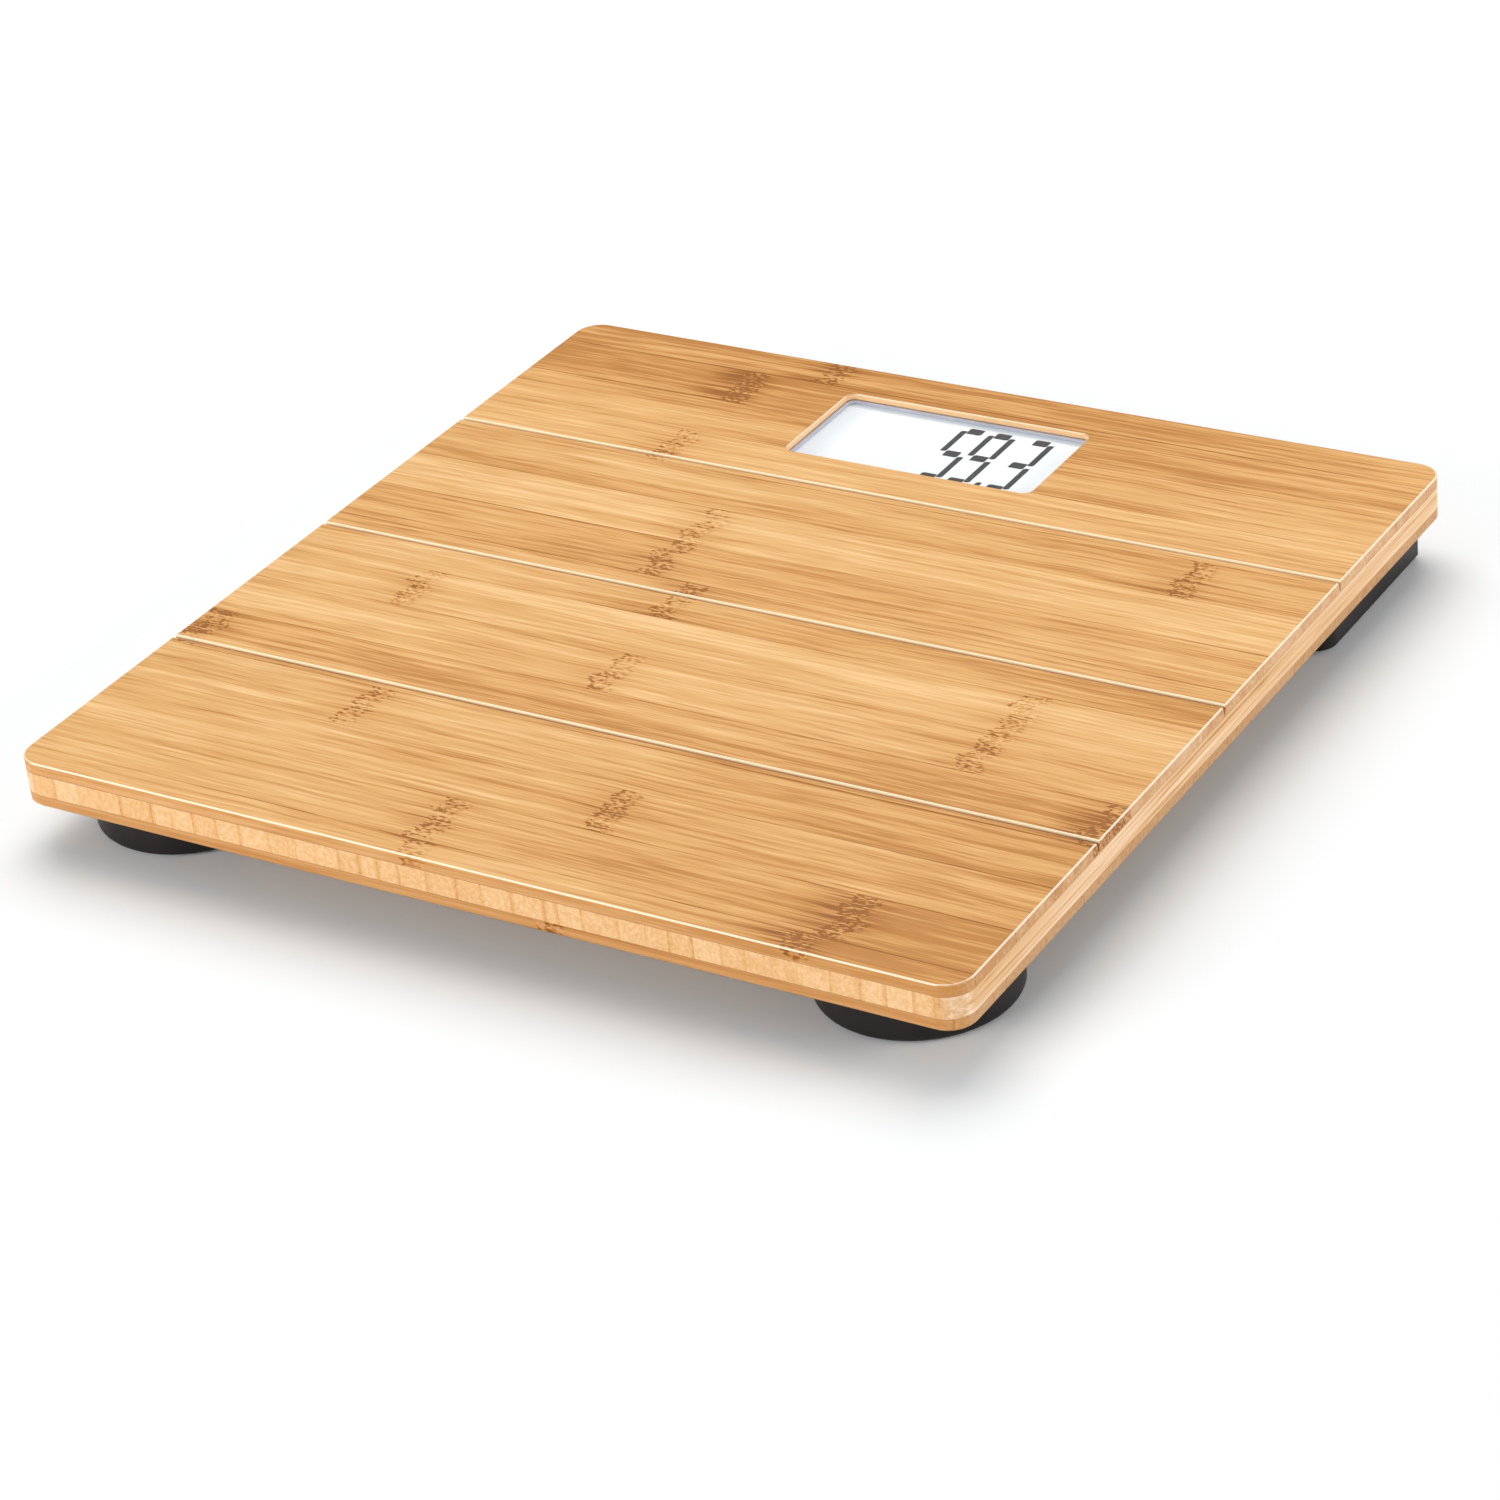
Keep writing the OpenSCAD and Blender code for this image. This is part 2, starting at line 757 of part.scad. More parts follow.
module foot_pad(r) {
    color("dimgray") difference() {
        cylinder(h = pad_t, r = r);
        translate([0, 0, -1]) {
            cylinder(h = 1.5, r = 4);
            for (i = [1 : 2]) ring(4 + 5 * i, 3 + 5 * i, 1.5);
        }
    }
}

// ---- wires ----

// From the strain gauge up through the roof, along the channel and onto the circuit board
module foot_wires(foot) {
    centre = [foot[0] * foot_x, foot[1] * foot_y];
    out = [cos(foot[2]), sin(foot[2])];
    across = [-out[1], out[0]];
    front = foot[1] < 0;
    color("firebrick") for (i = [-1 : 1]) {
        shift = i * wire_pitch;
        start = centre + 11.5 * out + shift * across;
        riser = centre + wire_hole_x * out + shift * across;
        lead_x = foot[0] * (solder_x + 1.5 * i);
        turn_y = crossing_y - foot[0] * shift;
        run = front
            ? [[riser[0], turn_y, wire_z], [lead_x, turn_y, wire_z], [lead_x, turn_y, pcb_z]]
            : [[lead_x, riser[1], wire_z], [lead_x, riser[1], pcb_z]];
        wire(concat([
            [start[0], start[1], wire_start_z],
            [riser[0], riser[1], wire_start_z],
            [riser[0], riser[1], wire_z]
        ], run));
    }
}

platform_top_ply();
platform_core_ply();
platform_bottom_ply();
display_gasket();
display_bezel();
display_lens();
lcd_panel();
lcd_reflector();
zebra_connectors();
circuit_board();
pcb_components();
unit_switch_body();
pcb_screws();
rear_housing();
housing_screws();
foot_screws();
load_cell_screws();
battery_cell();
battery_contact_negative();
battery_contact_positive();
battery_leads();
battery_door();
unit_button();
unit_switch_plunger();
at_foot(FRONT_LEFT) foot_base();  // front_left_foot_base
at_foot(FRONT_RIGHT) foot_base();  // front_right_foot_base
at_foot(FRONT_LEFT) load_cell();  // front_left_load_cell
at_foot(FRONT_RIGHT) load_cell();  // front_right_load_cell
at_foot(REAR_LEFT) load_cell();  // rear_left_load_cell
at_foot(REAR_RIGHT) load_cell();  // rear_right_load_cell
at_foot(FRONT_LEFT) strain_gauge();  // front_left_strain_gauge
at_foot(FRONT_RIGHT) strain_gauge();  // front_right_strain_gauge
at_foot(REAR_LEFT) strain_gauge();  // rear_left_strain_gauge
at_foot(REAR_RIGHT) strain_gauge();  // rear_right_strain_gauge
at_foot(FRONT_LEFT) front_foot_cap();  // front_left_foot_cap
at_foot(FRONT_RIGHT) front_foot_cap();  // front_right_foot_cap
at_foot(REAR_LEFT) rear_foot_cap();  // rear_left_foot_cap
at_foot(REAR_RIGHT) rear_foot_cap();  // rear_right_foot_cap
at_foot(FRONT_LEFT) foot_pad(front_pad_r);  // front_left_foot_pad
at_foot(FRONT_RIGHT) foot_pad(front_pad_r);  // front_right_foot_pad
at_foot(REAR_LEFT) foot_pad(rear_pad_r);  // rear_left_foot_pad
at_foot(REAR_RIGHT) foot_pad(rear_pad_r);  // rear_right_foot_pad
foot_wires(FRONT_LEFT);  // front_left_wires
foot_wires(FRONT_RIGHT);  // front_right_wires
foot_wires(REAR_LEFT);  // rear_left_wires
foot_wires(REAR_RIGHT);  // rear_right_wires
wire_cover(-1);  // left_wire_cover
wire_cover(1);  // right_wire_cover
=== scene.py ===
"""Looks of a digital bathroom scale with a bamboo platform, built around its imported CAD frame.

The frame is in metres: +Z is up, +Y points to the rear, and the floor is at z = 0.
Sizes of the scale are written in millimetres and multiplied by MM. Materials work in millimetres
too. The camera, the floor and the lights are in metres.
"""

import math

import bpy
import bmesh
from mathutils import Matrix, Vector


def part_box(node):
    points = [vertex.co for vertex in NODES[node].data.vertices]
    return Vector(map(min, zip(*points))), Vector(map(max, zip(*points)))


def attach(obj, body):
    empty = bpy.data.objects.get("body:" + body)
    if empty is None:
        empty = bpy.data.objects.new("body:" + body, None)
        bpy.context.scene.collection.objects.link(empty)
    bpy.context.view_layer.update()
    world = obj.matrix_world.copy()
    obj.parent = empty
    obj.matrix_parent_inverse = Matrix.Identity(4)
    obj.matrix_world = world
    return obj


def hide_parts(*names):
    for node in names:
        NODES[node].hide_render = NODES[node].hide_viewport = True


MM = 0.001

# ---------------------------------------------------------------- frame

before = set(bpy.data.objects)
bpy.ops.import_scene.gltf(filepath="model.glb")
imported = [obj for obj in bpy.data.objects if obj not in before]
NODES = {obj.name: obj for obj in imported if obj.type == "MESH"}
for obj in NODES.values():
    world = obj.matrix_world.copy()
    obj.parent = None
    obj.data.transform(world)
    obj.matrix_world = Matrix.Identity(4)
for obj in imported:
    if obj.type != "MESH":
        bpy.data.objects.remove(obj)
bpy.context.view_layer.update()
PLY_LOW, PLY_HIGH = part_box("platform_top_ply")
CORE_LOW, CORE_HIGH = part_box("platform_core_ply")
LENS_LOW, LENS_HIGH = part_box("display_lens")
LENS_CENTRE = (LENS_LOW + LENS_HIGH) / 2
LENS_HALF = (LENS_HIGH - LENS_LOW) / 2
LCD_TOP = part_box("lcd_panel")[1].z
HALF_W = PLY_HIGH.x
HALF_D = PLY_HIGH.y
TOP_Z = PLY_HIGH.z

# Platform details that no single node's box gives
CORNER_R = 8 * MM
EDGE_R = 0.55 * MM
GROOVE_DEPTH = 3.2 * MM
GROOVE_HALF = 0.85 * MM
GROOVE_SHOULDER_R = 0.45 * MM
GROOVE_YS = [HALF_D * k for k in (-0.5, 0, 0.5)]
WINDOW_MARGIN = 1.1 * MM
WINDOW_R = 3 * MM
WINDOW_RIM_R = 0.4 * MM
LENS_R = 2.4 * MM
LENS_EDGE_R = 0.15 * MM
RECESS_MARGIN = 0.5 * MM
RECESS_R = 3 * MM

# How far the window's rim turns towards the top, in degrees
RIM_TURN = 70

# How finely curves are divided, and the angles in degrees above which an edge stays sharp
CORNER_STEPS = 12
EDGE_STEPS = 6
SHOULDER_STEPS = 5
RIM_STEPS = 4
LENS_EDGE_STEPS = 3
SHARP_ANGLE = 35
BOARD_SHARP_ANGLE = 30


# ---------------------------------------------------------------- colour and node helpers


def linear(r, g, b):
    """An sRGB display colour given as 0-255 values, as linear light."""
    channels = []
    for value in (r, g, b):
        c = value / 255
        channels.append(c / 12.92 if c <= 0.04045 else ((c + 0.055) / 1.055) ** 2.4)
    return (*channels, 1.0)


# Where the Mix node keeps its colours, because it has sockets of the same name for other types
MIX_FIRST_COLOUR = 6
MIX_SECOND_COLOUR = 7
MIX_RESULT_COLOUR = 2


class Shading:
    """One material's node tree, with short calls for the nodes it is made of."""

    def __init__(self, name, roughness=0.5, **sockets):
        self.material = bpy.data.materials.new(name)
        self.material.use_nodes = True
        self.tree = self.material.node_tree
        self.shader = self.tree.nodes["Principled BSDF"]
        self.shader.inputs["Roughness"].default_value = roughness
        for socket, value in sockets.items():
            self.shader.inputs[socket.replace("_", " ")].default_value = value

    def node(self, kind, **settings):
        """A new node of the given kind, with its settings."""
        made = self.tree.nodes.new(kind)
        for key, value in settings.items():
            setattr(made, key, value)
        return made

    def link(self, value, socket):
        """Feeds a socket from another socket, or from a plain value."""
        if isinstance(value, bpy.types.NodeSocket):
            self.tree.links.new(value, socket)
        else:
            socket.default_value = value

    def math(self, operation, *values, clamp=False):
        """The result of one operation on sockets or plain values."""
        made = self.node("ShaderNodeMath", operation=operation, use_clamp=clamp)
        for value, socket in zip(values, made.inputs):
            self.link(value, socket)
        return made.outputs[0]

    def place(self):
        """Object coordinates in millimetres, as separate x, y and z."""
        coordinates = self.node("ShaderNodeTexCoord").outputs["Object"]
        scaled = self.node("ShaderNodeVectorMath", operation="SCALE")
        self.link(coordinates, scaled.inputs[0])
        scaled.inputs["Scale"].default_value = 1 / MM
        split = self.node("ShaderNodeSeparateXYZ")
        self.link(scaled.outputs[0], split.inputs[0])
        return split.outputs[0], split.outputs[1], split.outputs[2]

    def normal(self):
        """The surface's direction, as separate x, y and z."""
        split = self.node("ShaderNodeSeparateXYZ")
        self.link(self.node("ShaderNodeNewGeometry").outputs["Normal"], split.inputs[0])
        return split.outputs[0], split.outputs[1], split.outputs[2]

    def vector(self, x, y, z):
        """One vector from three sockets or plain values."""
        made = self.node("ShaderNodeCombineXYZ")
        for value, socket in zip((x, y, z), made.inputs):
            self.link(value, socket)
        return made.outputs[0]

    def noise(self, vector, scale=1.0, detail=2.0, roughness=0.5):
        """Smooth noise from 0 to 1, with its middle at 0.5."""
        made = self.node("ShaderNodeTexNoise")
        self.link(vector, made.inputs["Vector"])
        made.inputs["Scale"].default_value = scale
        made.inputs["Detail"].default_value = detail
        made.inputs["Roughness"].default_value = roughness
        return made.outputs["Fac"]

    def ramp(self, value, low, high, to_low=0.0, to_high=1.0, smooth=True):
        """Maps low..high to to_low..to_high, held at both ends."""
        made = self.node("ShaderNodeMapRange", clamp=True)
        made.interpolation_type = "SMOOTHSTEP" if smooth else "LINEAR"
        for item, socket in zip((value, low, high, to_low, to_high), made.inputs):
            self.link(item, socket)
        return made.outputs[0]

    def mix(self, factor, first, second, blend="MIX"):
        """The first colour, turned into the second by the factor."""
        made = self.node("ShaderNodeMix", data_type="RGBA", blend_type=blend)
        self.link(factor, made.inputs["Factor"])
        self.link(first, made.inputs[MIX_FIRST_COLOUR])
        self.link(second, made.inputs[MIX_SECOND_COLOUR])
        return made.outputs[MIX_RESULT_COLOUR]

    def tinted(self, factor, colour, tint):
        """A colour, multiplied by the tint where the factor is 1."""
        return self.mix(factor, colour, self.mix(1.0, colour, tint, "MULTIPLY"))

    def channels(self, colour):
        """The red, green and blue of a colour, as separate values."""
        split = self.node("ShaderNodeSeparateColor")
        self.link(colour, split.inputs[0])
        return split.outputs[0], split.outputs[1], split.outputs[2]

    def palette(self, value, stops, interpolation="LINEAR"):
        """The colour at a value from 0 to 1 on a ramp through (position, colour) stops."""
        made = self.node("ShaderNodeValToRGB")
        made.color_ramp.interpolation = interpolation
        elements = made.color_ramp.elements
        while len(elements) < len(stops):
            elements.new(0.5)
        for element, (position, _) in zip(elements, stops):
            element.position = position
        for element, (_, colour) in zip(elements, stops):
            element.color = colour
        self.link(value, made.inputs[0])
        return made.outputs[0]

    def bump(self, height, depth, strength):
        """Bumps of the given depth in metres, from a height of 0 to 1."""
        made = self.node("ShaderNodeBump")
        made.inputs["Strength"].default_value = strength
        made.inputs["Distance"].default_value = depth
        self.link(height, made.inputs["Height"])
        self.link(made.outputs[0], self.shader.inputs["Normal"])

    def colour(self, value):
        """Sets the surface's colour."""
        self.link(value, self.shader.inputs["Base Color"])

    def roughness(self, value):
        """Sets how matt the surface is."""
        self.link(value, self.shader.inputs["Roughness"])


# ---------------------------------------------------------------- bamboo

# Where the plies' strips begin at the front, how wide they are, and how far they reach sideways
STRIP_W = 21.5
TOP_FIRST_JOINT = -164.5
BOTTOM_FIRST_JOINT = -171.0
CORE_STRIP_W = 8
STRIP_REACH = 150.0

# Strips of the top ply from front to rear: where one or two knuckles lie along the strip, and how
# light the strip is at its left end, middle and right end (0 to 1). These lightnesses hold the
# strips' own tones and also painted light: painted shade towards the front right and a painted
# sheen towards the rear right. OFF means no knuckle.
OFF = 400
TOP_STRIPS = [
    (-20, 98, 0.55, 0.44, 0.20),
    (-22, 105, 0.55, 0.50, 0.16),
    (20, OFF, 0.55, 0.47, 0.28),
    (-78, OFF, 0.60, 0.55, 0.32),
    (-149, 146, 0.34, 0.44, 0.18),
    (-20, 98, 0.68, 0.64, 0.52),
    (-103, 98, 0.70, 0.72, 0.62),
    (-26, OFF, 0.64, 0.55, 0.38),
    (-43, OFF, 0.42, 0.40, 0.44),
    (-42, OFF, 0.72, 0.72, 0.70),
    (108, OFF, 0.52, 0.50, 0.56),
    (-80, OFF, 0.62, 0.60, 0.58),
    (OFF, OFF, 0.48, 0.42, 0.50),
    (-80, OFF, 0.16, 0.18, 0.40),
    (-57, OFF, 0.20, 0.17, 0.46),
]
# The colour ramp that holds the knuckles' places covers this length, with x = 0 in its middle
KNUCKLE_SPAN = 800
# Knuckles of the bottom ply are no farther than this from x = 0
BOTTOM_KNUCKLE_REACH = 135.0

# How far each pattern moves from one strip to the next, so that no two strips look alike
FIBRE_SHIFT = 57.3
BUNDLE_SHIFT = 31.7
FLECK_SHIFT = 13.1
CORE_STRIP_NUMBERS = 17.0

# Fibres bend sideways by up to this much, in waves of about 1 / FIBRE_WAVE_SCALE
FIBRE_WAVE = 2.4
FIBRE_WAVE_SCALE = 0.022

# Vessel bundles run on along the fibres, and their dots fade out between these distances
BUNDLE_ALONG_SCALE = 0.012
BUNDLE_EDGE = (0.12, 0.5)

# A knuckle's seam drifts and zigzags along the fibres. Behind it is a flecked band, and round it
# a soft shade. The pairs say where each of these starts to fade and where it ends.
SEAM_DRIFT = 12.0
SEAM_JAG = 5.0
SEAM_SHIFT = -8.0
SEAM_FADE = (0.2, 1.5)
BAND_SHIFT = 3.6
BAND_FADE = (2.2, 5.0)
SHADE_FADE = (1.0, 18.0)

# The studio's light on an upward-facing surface, and the part of it that lacquer mirrors
STUDIO_LIGHT = (1.10, 1.085, 1.065)
LACQUER_GLOSS = 0.035
DARKEST = 0.004


def lit(r, g, b):
    """The surface colour of lacquered bamboo that looks like a display colour in this studio."""
    seen = linear(r, g, b)[:3]
    own = [max(c - LACQUER_GLOSS, DARKEST) / light for c, light in zip(seen, STUDIO_LIGHT)]
    return (*own, 1.0)


# Bamboo colours from the darkest fibres to the lightest
BAMBOO_TONES = [
    (0.00, lit(160, 104, 54)),
    (0.08, lit(188, 129, 70)),
    (0.18, lit(207, 149, 87)),
    (0.38, lit(222, 168, 106)),
    (0.55, lit(230, 179, 117)),
    (0.75, lit(237, 190, 130)),
    (1.00, lit(248, 207, 152)),
]

# Tints of each ply's end grain and of its other sides, and of every face that looks down. The end
# and side tints hold the grain's own colour and also painted light: each face made lighter or
# darker by how it faces the lamps.
TOP_END = (0.90, 0.95, 1.34, 1)
TOP_SIDE = (0.95, 0.90, 1.02, 1)
CORE_END = (1.05, 1.03, 1.16, 1)
CORE_SIDE = (1.06, 1.21, 1.84, 1)
BOTTOM_END = (0.77, 0.79, 1.06, 1)
BOTTOM_SIDE = (0.90, 0.83, 0.88, 1)
UNDERSIDE = (0.64, 0.64, 0.69, 1)

# Painted highlights on rounded top edges: one for edges facing front and rear, one for the sides
EDGE_HIGHLIGHT_FRONT = linear(255, 245, 214)
EDGE_HIGHLIGHT_SIDE = linear(250, 222, 214)
# Painted shade deep in the grooves
GROOVE_PAINTED_SHADE = linear(120, 74, 40)
# Painted light on the display window's walls
PAINTED_WALL_LIGHT = linear(255, 212, 160)
GLUE = linear(150, 100, 62)


class Bamboo(Shading):
    """Solid bamboo whose fibres run along one axis, in strips that are glued side by side."""

    def __init__(self, name, along_x):
        super().__init__(name, roughness=0.42, Specular_IOR_Level=0.14, Coat_Weight=0.05)
        self.shader.inputs["Coat Roughness"].default_value = 0.22
        self.x, self.y, self.z = self.place()
        self.nx, self.ny, self.nz = self.normal()
        self.along, self.across = (self.x, self.y) if along_x else (self.y, self.x)
        self.end_normal = self.nx if along_x else self.ny

    def add(self, tone, pattern, weight):
        """The tone with a weighted pattern added to it. A negative weight darkens."""
        return self.math("MULTIPLY_ADD", pattern, weight, tone)

    def vary(self, tone, noise, weight):
        """The tone, lighter where a noise is over its middle and darker where it is under it."""
        return self.math("MULTIPLY_ADD", self.math("SUBTRACT", noise, 0.5), weight, tone)

    def fibres(self, strip, along_scale, across_scale, detail=2.0):
        """Long, slightly wavy streaks along the fibres, different in each strip."""
        shifted = self.math("MULTIPLY_ADD", strip, FIBRE_SHIFT, self.along)
        slow = self.math("MULTIPLY", shifted, FIBRE_WAVE_SCALE)
        wave = self.noise(self.vector(slow, strip, 0.0), detail=1.0)
        bent = self.math("MULTIPLY_ADD", wave, FIBRE_WAVE, self.across)
        return self.noise(
            self.vector(
                self.math("MULTIPLY", shifted, along_scale),
                self.math("MULTIPLY", bent, across_scale),
                self.math("MULTIPLY", self.z, across_scale),
            ),
            detail=detail,
        )

    def bundles(self, strip, size):
        """Vessel bundles: dots across the fibres and lines along them, 1 at a bundle's middle."""
        cells = self.node("ShaderNodeTexVoronoi", feature="F1")
        shifted = self.math("MULTIPLY_ADD", strip, BUNDLE_SHIFT, self.along)
        self.link(
            self.vector(
                self.math("MULTIPLY", shifted, BUNDLE_ALONG_SCALE),
                self.math("DIVIDE", self.across, size),
                self.math("DIVIDE", self.z, size),
            ),
            cells.inputs["Vector"],
        )
        return self.ramp(cells.outputs["Distance"], *BUNDLE_EDGE, 1.0, 0.0)

    def knuckle(self, centre, strip):
        """A knuckle's jagged seam, the flecked band behind it, and the soft shade around it."""
        wide = self.math("MULTIPLY", self.across, 0.13)
        narrow = self.math("MULTIPLY", self.across, 0.9)
        drift = self.noise(self.vector(strip, wide, 0.0), detail=1.0)
        jag = self.noise(self.vector(strip, narrow, 0.0), detail=2.0)
        bent = self.math("MULTIPLY_ADD", drift, SEAM_DRIFT, self.math("ADD", centre, SEAM_SHIFT))
        bent = self.math("MULTIPLY_ADD", jag, SEAM_JAG, bent)
        past = self.math("SUBTRACT", self.along, bent)
        away = self.math("ABSOLUTE", past)
        seam = self.ramp(away, *SEAM_FADE, 1.0, 0.0)
        behind = self.math("ABSOLUTE", self.math("SUBTRACT", past, BAND_SHIFT))
        band = self.ramp(behind, *BAND_FADE, 1.0, 0.0)
        shade = self.ramp(away, *SHADE_FADE, 1.0, 0.0)
        return seam, band, shade

    def flecks(self, strip):
        """Short dark dashes and pale specks, as fine as the fibres."""
        shifted = self.math("MULTIPLY_ADD", strip, FLECK_SHIFT, self.along)
        return self.noise(
            self.vector(
                self.math("MULTIPLY", shifted, 0.55),
                self.math("MULTIPLY", self.across, 1.15),
                self.math("MULTIPLY", self.z, 1.15),
            ),
            detail=2.0,
        )

    def finish(self, tone, end_tint, side_tint, height, side_tone, calm):
        """The colour of a tone, with tinted end grain and sides, on a surface bumped by height.

        calm (0 to 1) pulls the tone of all upright faces towards side_tone.
        """
        end = self.math("POWER", self.math("ABSOLUTE", self.end_normal), 6.0)
        upright = self.math("SUBTRACT", 1.0, self.math("ABSOLUTE", self.nz))
        upright = self.math("POWER", upright, 4.0)
        side = self.math("SUBTRACT", upright, end, clamp=True)
        pull = self.math("MULTIPLY", self.math("SUBTRACT", side_tone, tone), calm)
        tone = self.math("MULTIPLY_ADD", upright, pull, tone)
        colour = self.palette(tone, BAMBOO_TONES)
        colour = self.tinted(side, colour, side_tint)
        colour = self.tinted(end, colour, end_tint)
        below = self.math("LESS_THAN", self.nz, -0.5)
        colour = self.tinted(below, colour, UNDERSIDE)
        self.bump(height, depth=0.05 * MM, strength=0.5)
        return colour


def strip_table(m, lookup, rows):
    """The row of three numbers (0 to 1) that belongs to a strip of the top ply."""
    stops = [(i / len(rows), (*row, 1)) for i, row in enumerate(rows)]
    return m.channels(m.palette(lookup, stops, "CONSTANT"))


def top_strip_tone_and_light(m, left, middle, right):
    """A strip's tone and painted light, from its left end through its middle to its right end."""
    to_middle = m.ramp(m.x, -STRIP_REACH, 0.0, smooth=False)
    to_right = m.ramp(m.x, 0.0, STRIP_REACH, smooth=False)
    level = m.math("MULTIPLY_ADD", to_middle, m.math("SUBTRACT", middle, left), left)
    return m.math("MULTIPLY_ADD", to_right, m.math("SUBTRACT", right, middle), level)


def paint_edge_highlights(m, colour, tilt):
    """Painted highlights make rounded edges near the top pale, but less where the corners turn."""
    top = TOP_Z / MM
    shallow = m.ramp(m.z, top - 1.1, top - 0.6)
    diagonal = m.math("MULTIPLY", m.math("ABSOLUTE", m.nx), m.math("ABSOLUTE", m.ny))
    pale = m.math("MULTIPLY", m.ramp(tilt, 0.08, 0.45), shallow)
    pale = m.math("MULTIPLY", pale, m.ramp(diagonal, 0.05, 0.2, 1.0, 0.25))
    highlight_colour = m.mix(m.math("ABSOLUTE", m.nx), EDGE_HIGHLIGHT_FRONT, EDGE_HIGHLIGHT_SIDE)
    return m.mix(m.math("MULTIPLY", pale, 0.9), colour, highlight_colour)


def paint_groove_shade(m, colour, tilt):
    """Painted shade deep in grooves, whose walls slant unlike the board's front and rear."""
    top = TOP_Z / MM
    facing_front_or_rear = 0.985
    inward = m.math("LESS_THAN", m.math("ABSOLUTE", m.ny), facing_front_or_rear)
    slanted = m.math("MULTIPLY", m.ramp(tilt, 0.2, 0.4), inward)
    deep = m.math("MULTIPLY", m.ramp(m.z, top - 1.5, top - 0.8, 1.0, 0.0), slanted)
    return m.mix(m.math("MULTIPLY", deep, 0.7), colour, GROOVE_PAINTED_SHADE)


def paint_window_wall_light(m, colour):
    """Painted light makes the upright walls of the display window paler than the top."""
    side_limit = LENS_HIGH.x / MM + 4
    front_limit = LENS_LOW.y / MM - 4
    rear_limit = HALF_D / MM - 5
    upright = m.math("LESS_THAN", m.math("ABSOLUTE", m.nz), 0.3)
    between = m.math("LESS_THAN", m.math("ABSOLUTE", m.x), side_limit)
    wall = m.math("MULTIPLY", upright, between)
    wall = m.math("MULTIPLY", wall, m.math("LESS_THAN", m.y, rear_limit))
    wall = m.math("MULTIPLY", wall, m.math("GREATER_THAN", m.y, front_limit))
    return m.mix(m.math("MULTIPLY", wall, 0.85), colour, PAINTED_WALL_LIGHT)


def bamboo_top():
    """The top ply: strips and knuckles, painted edge highlights, groove shade and wall light."""
    m = Bamboo("bamboo_top_ply", along_x=True)
    position = m.math("DIVIDE", m.math("SUBTRACT", m.across, TOP_FIRST_JOINT), STRIP_W)
    strip = m.math("FLOOR", position)
    within = m.math("FRACT", position)
    lookup = m.math("DIVIDE", m.math("ADD", strip, 0.5), float(len(TOP_STRIPS)))
    places = [(a / KNUCKLE_SPAN + 0.5, b / KNUCKLE_SPAN + 0.5, 0) for a, b, *_ in TOP_STRIPS]
    knuckles = strip_table(m, lookup, places)[:2]
    levels = strip_table(m, lookup, [row[2:] for row in TOP_STRIPS])

    # Fibres: broad waves, streaks about a millimetre wide, and fine threads
    broad = m.fibres(strip, along_scale=0.007, across_scale=0.16)
    streak = m.fibres(strip, along_scale=0.020, across_scale=0.8)
    thread = m.fibres(strip, along_scale=0.06, across_scale=1.7, detail=1.0)
    tone = m.vary(top_strip_tone_and_light(m, *levels), broad, 1.0)
    tone = m.vary(tone, streak, 1.2)
    tone = m.vary(tone, thread, 0.9)
    tone = m.add(tone, m.bundles(strip, size=0.8), -0.08)
    tone = m.math("SMOOTH_MAX", tone, 0.12, 0.12)

    # Knuckles, and the thin dark joints between the strips
    dashes = m.ramp(m.flecks(strip), 0.38, 0.60, -0.30, 0.14)
    for place in knuckles:
        centre = m.math("MULTIPLY", m.math("SUBTRACT", place, 0.5), float(KNUCKLE_SPAN))
        seam, band, shade = m.knuckle(centre, strip)
        tone = m.add(tone, shade, -0.13)
        tone = m.add(tone, band, m.math("SUBTRACT", dashes, 0.05))
        tone = m.add(tone, seam, m.math("SUBTRACT", dashes, 0.10))
    joint = m.math("ABSOLUTE", m.math("SUBTRACT", within, 0.5))
    tone = m.add(tone, m.ramp(joint, 0.5 - 0.35 / STRIP_W, 0.5 - 0.08 / STRIP_W), -0.30)
    colour = m.finish(tone, TOP_END, TOP_SIDE, streak, side_tone=0.5, calm=0.35)

    # 1 where a surface stands at 45 degrees, 0 where it is level or upright
    level = m.math("MULTIPLY", m.nz, m.nz)
    tilt = m.math("MULTIPLY", m.math("MULTIPLY", level, 4.0), m.math("SUBTRACT", 1.0, level))
    colour = paint_edge_highlights(m, colour, tilt)
    colour = paint_groove_shade(m, colour, tilt)
    m.colour(paint_window_wall_light(m, colour))
    m.roughness(m.ramp(thread, 0.3, 0.7, 0.36, 0.50))
    return m.material


def glue_line(m):
    """0.75 at the glue joints over and under the core, and 0 from 0.3 mm away."""
    low = m.math("SUBTRACT", m.z, CORE_LOW.z / MM)
    high = m.math("SUBTRACT", CORE_HIGH.z / MM, m.z)
    return m.ramp(m.math("MINIMUM", low, high), 0.08, 0.3, 0.75, 0.0)


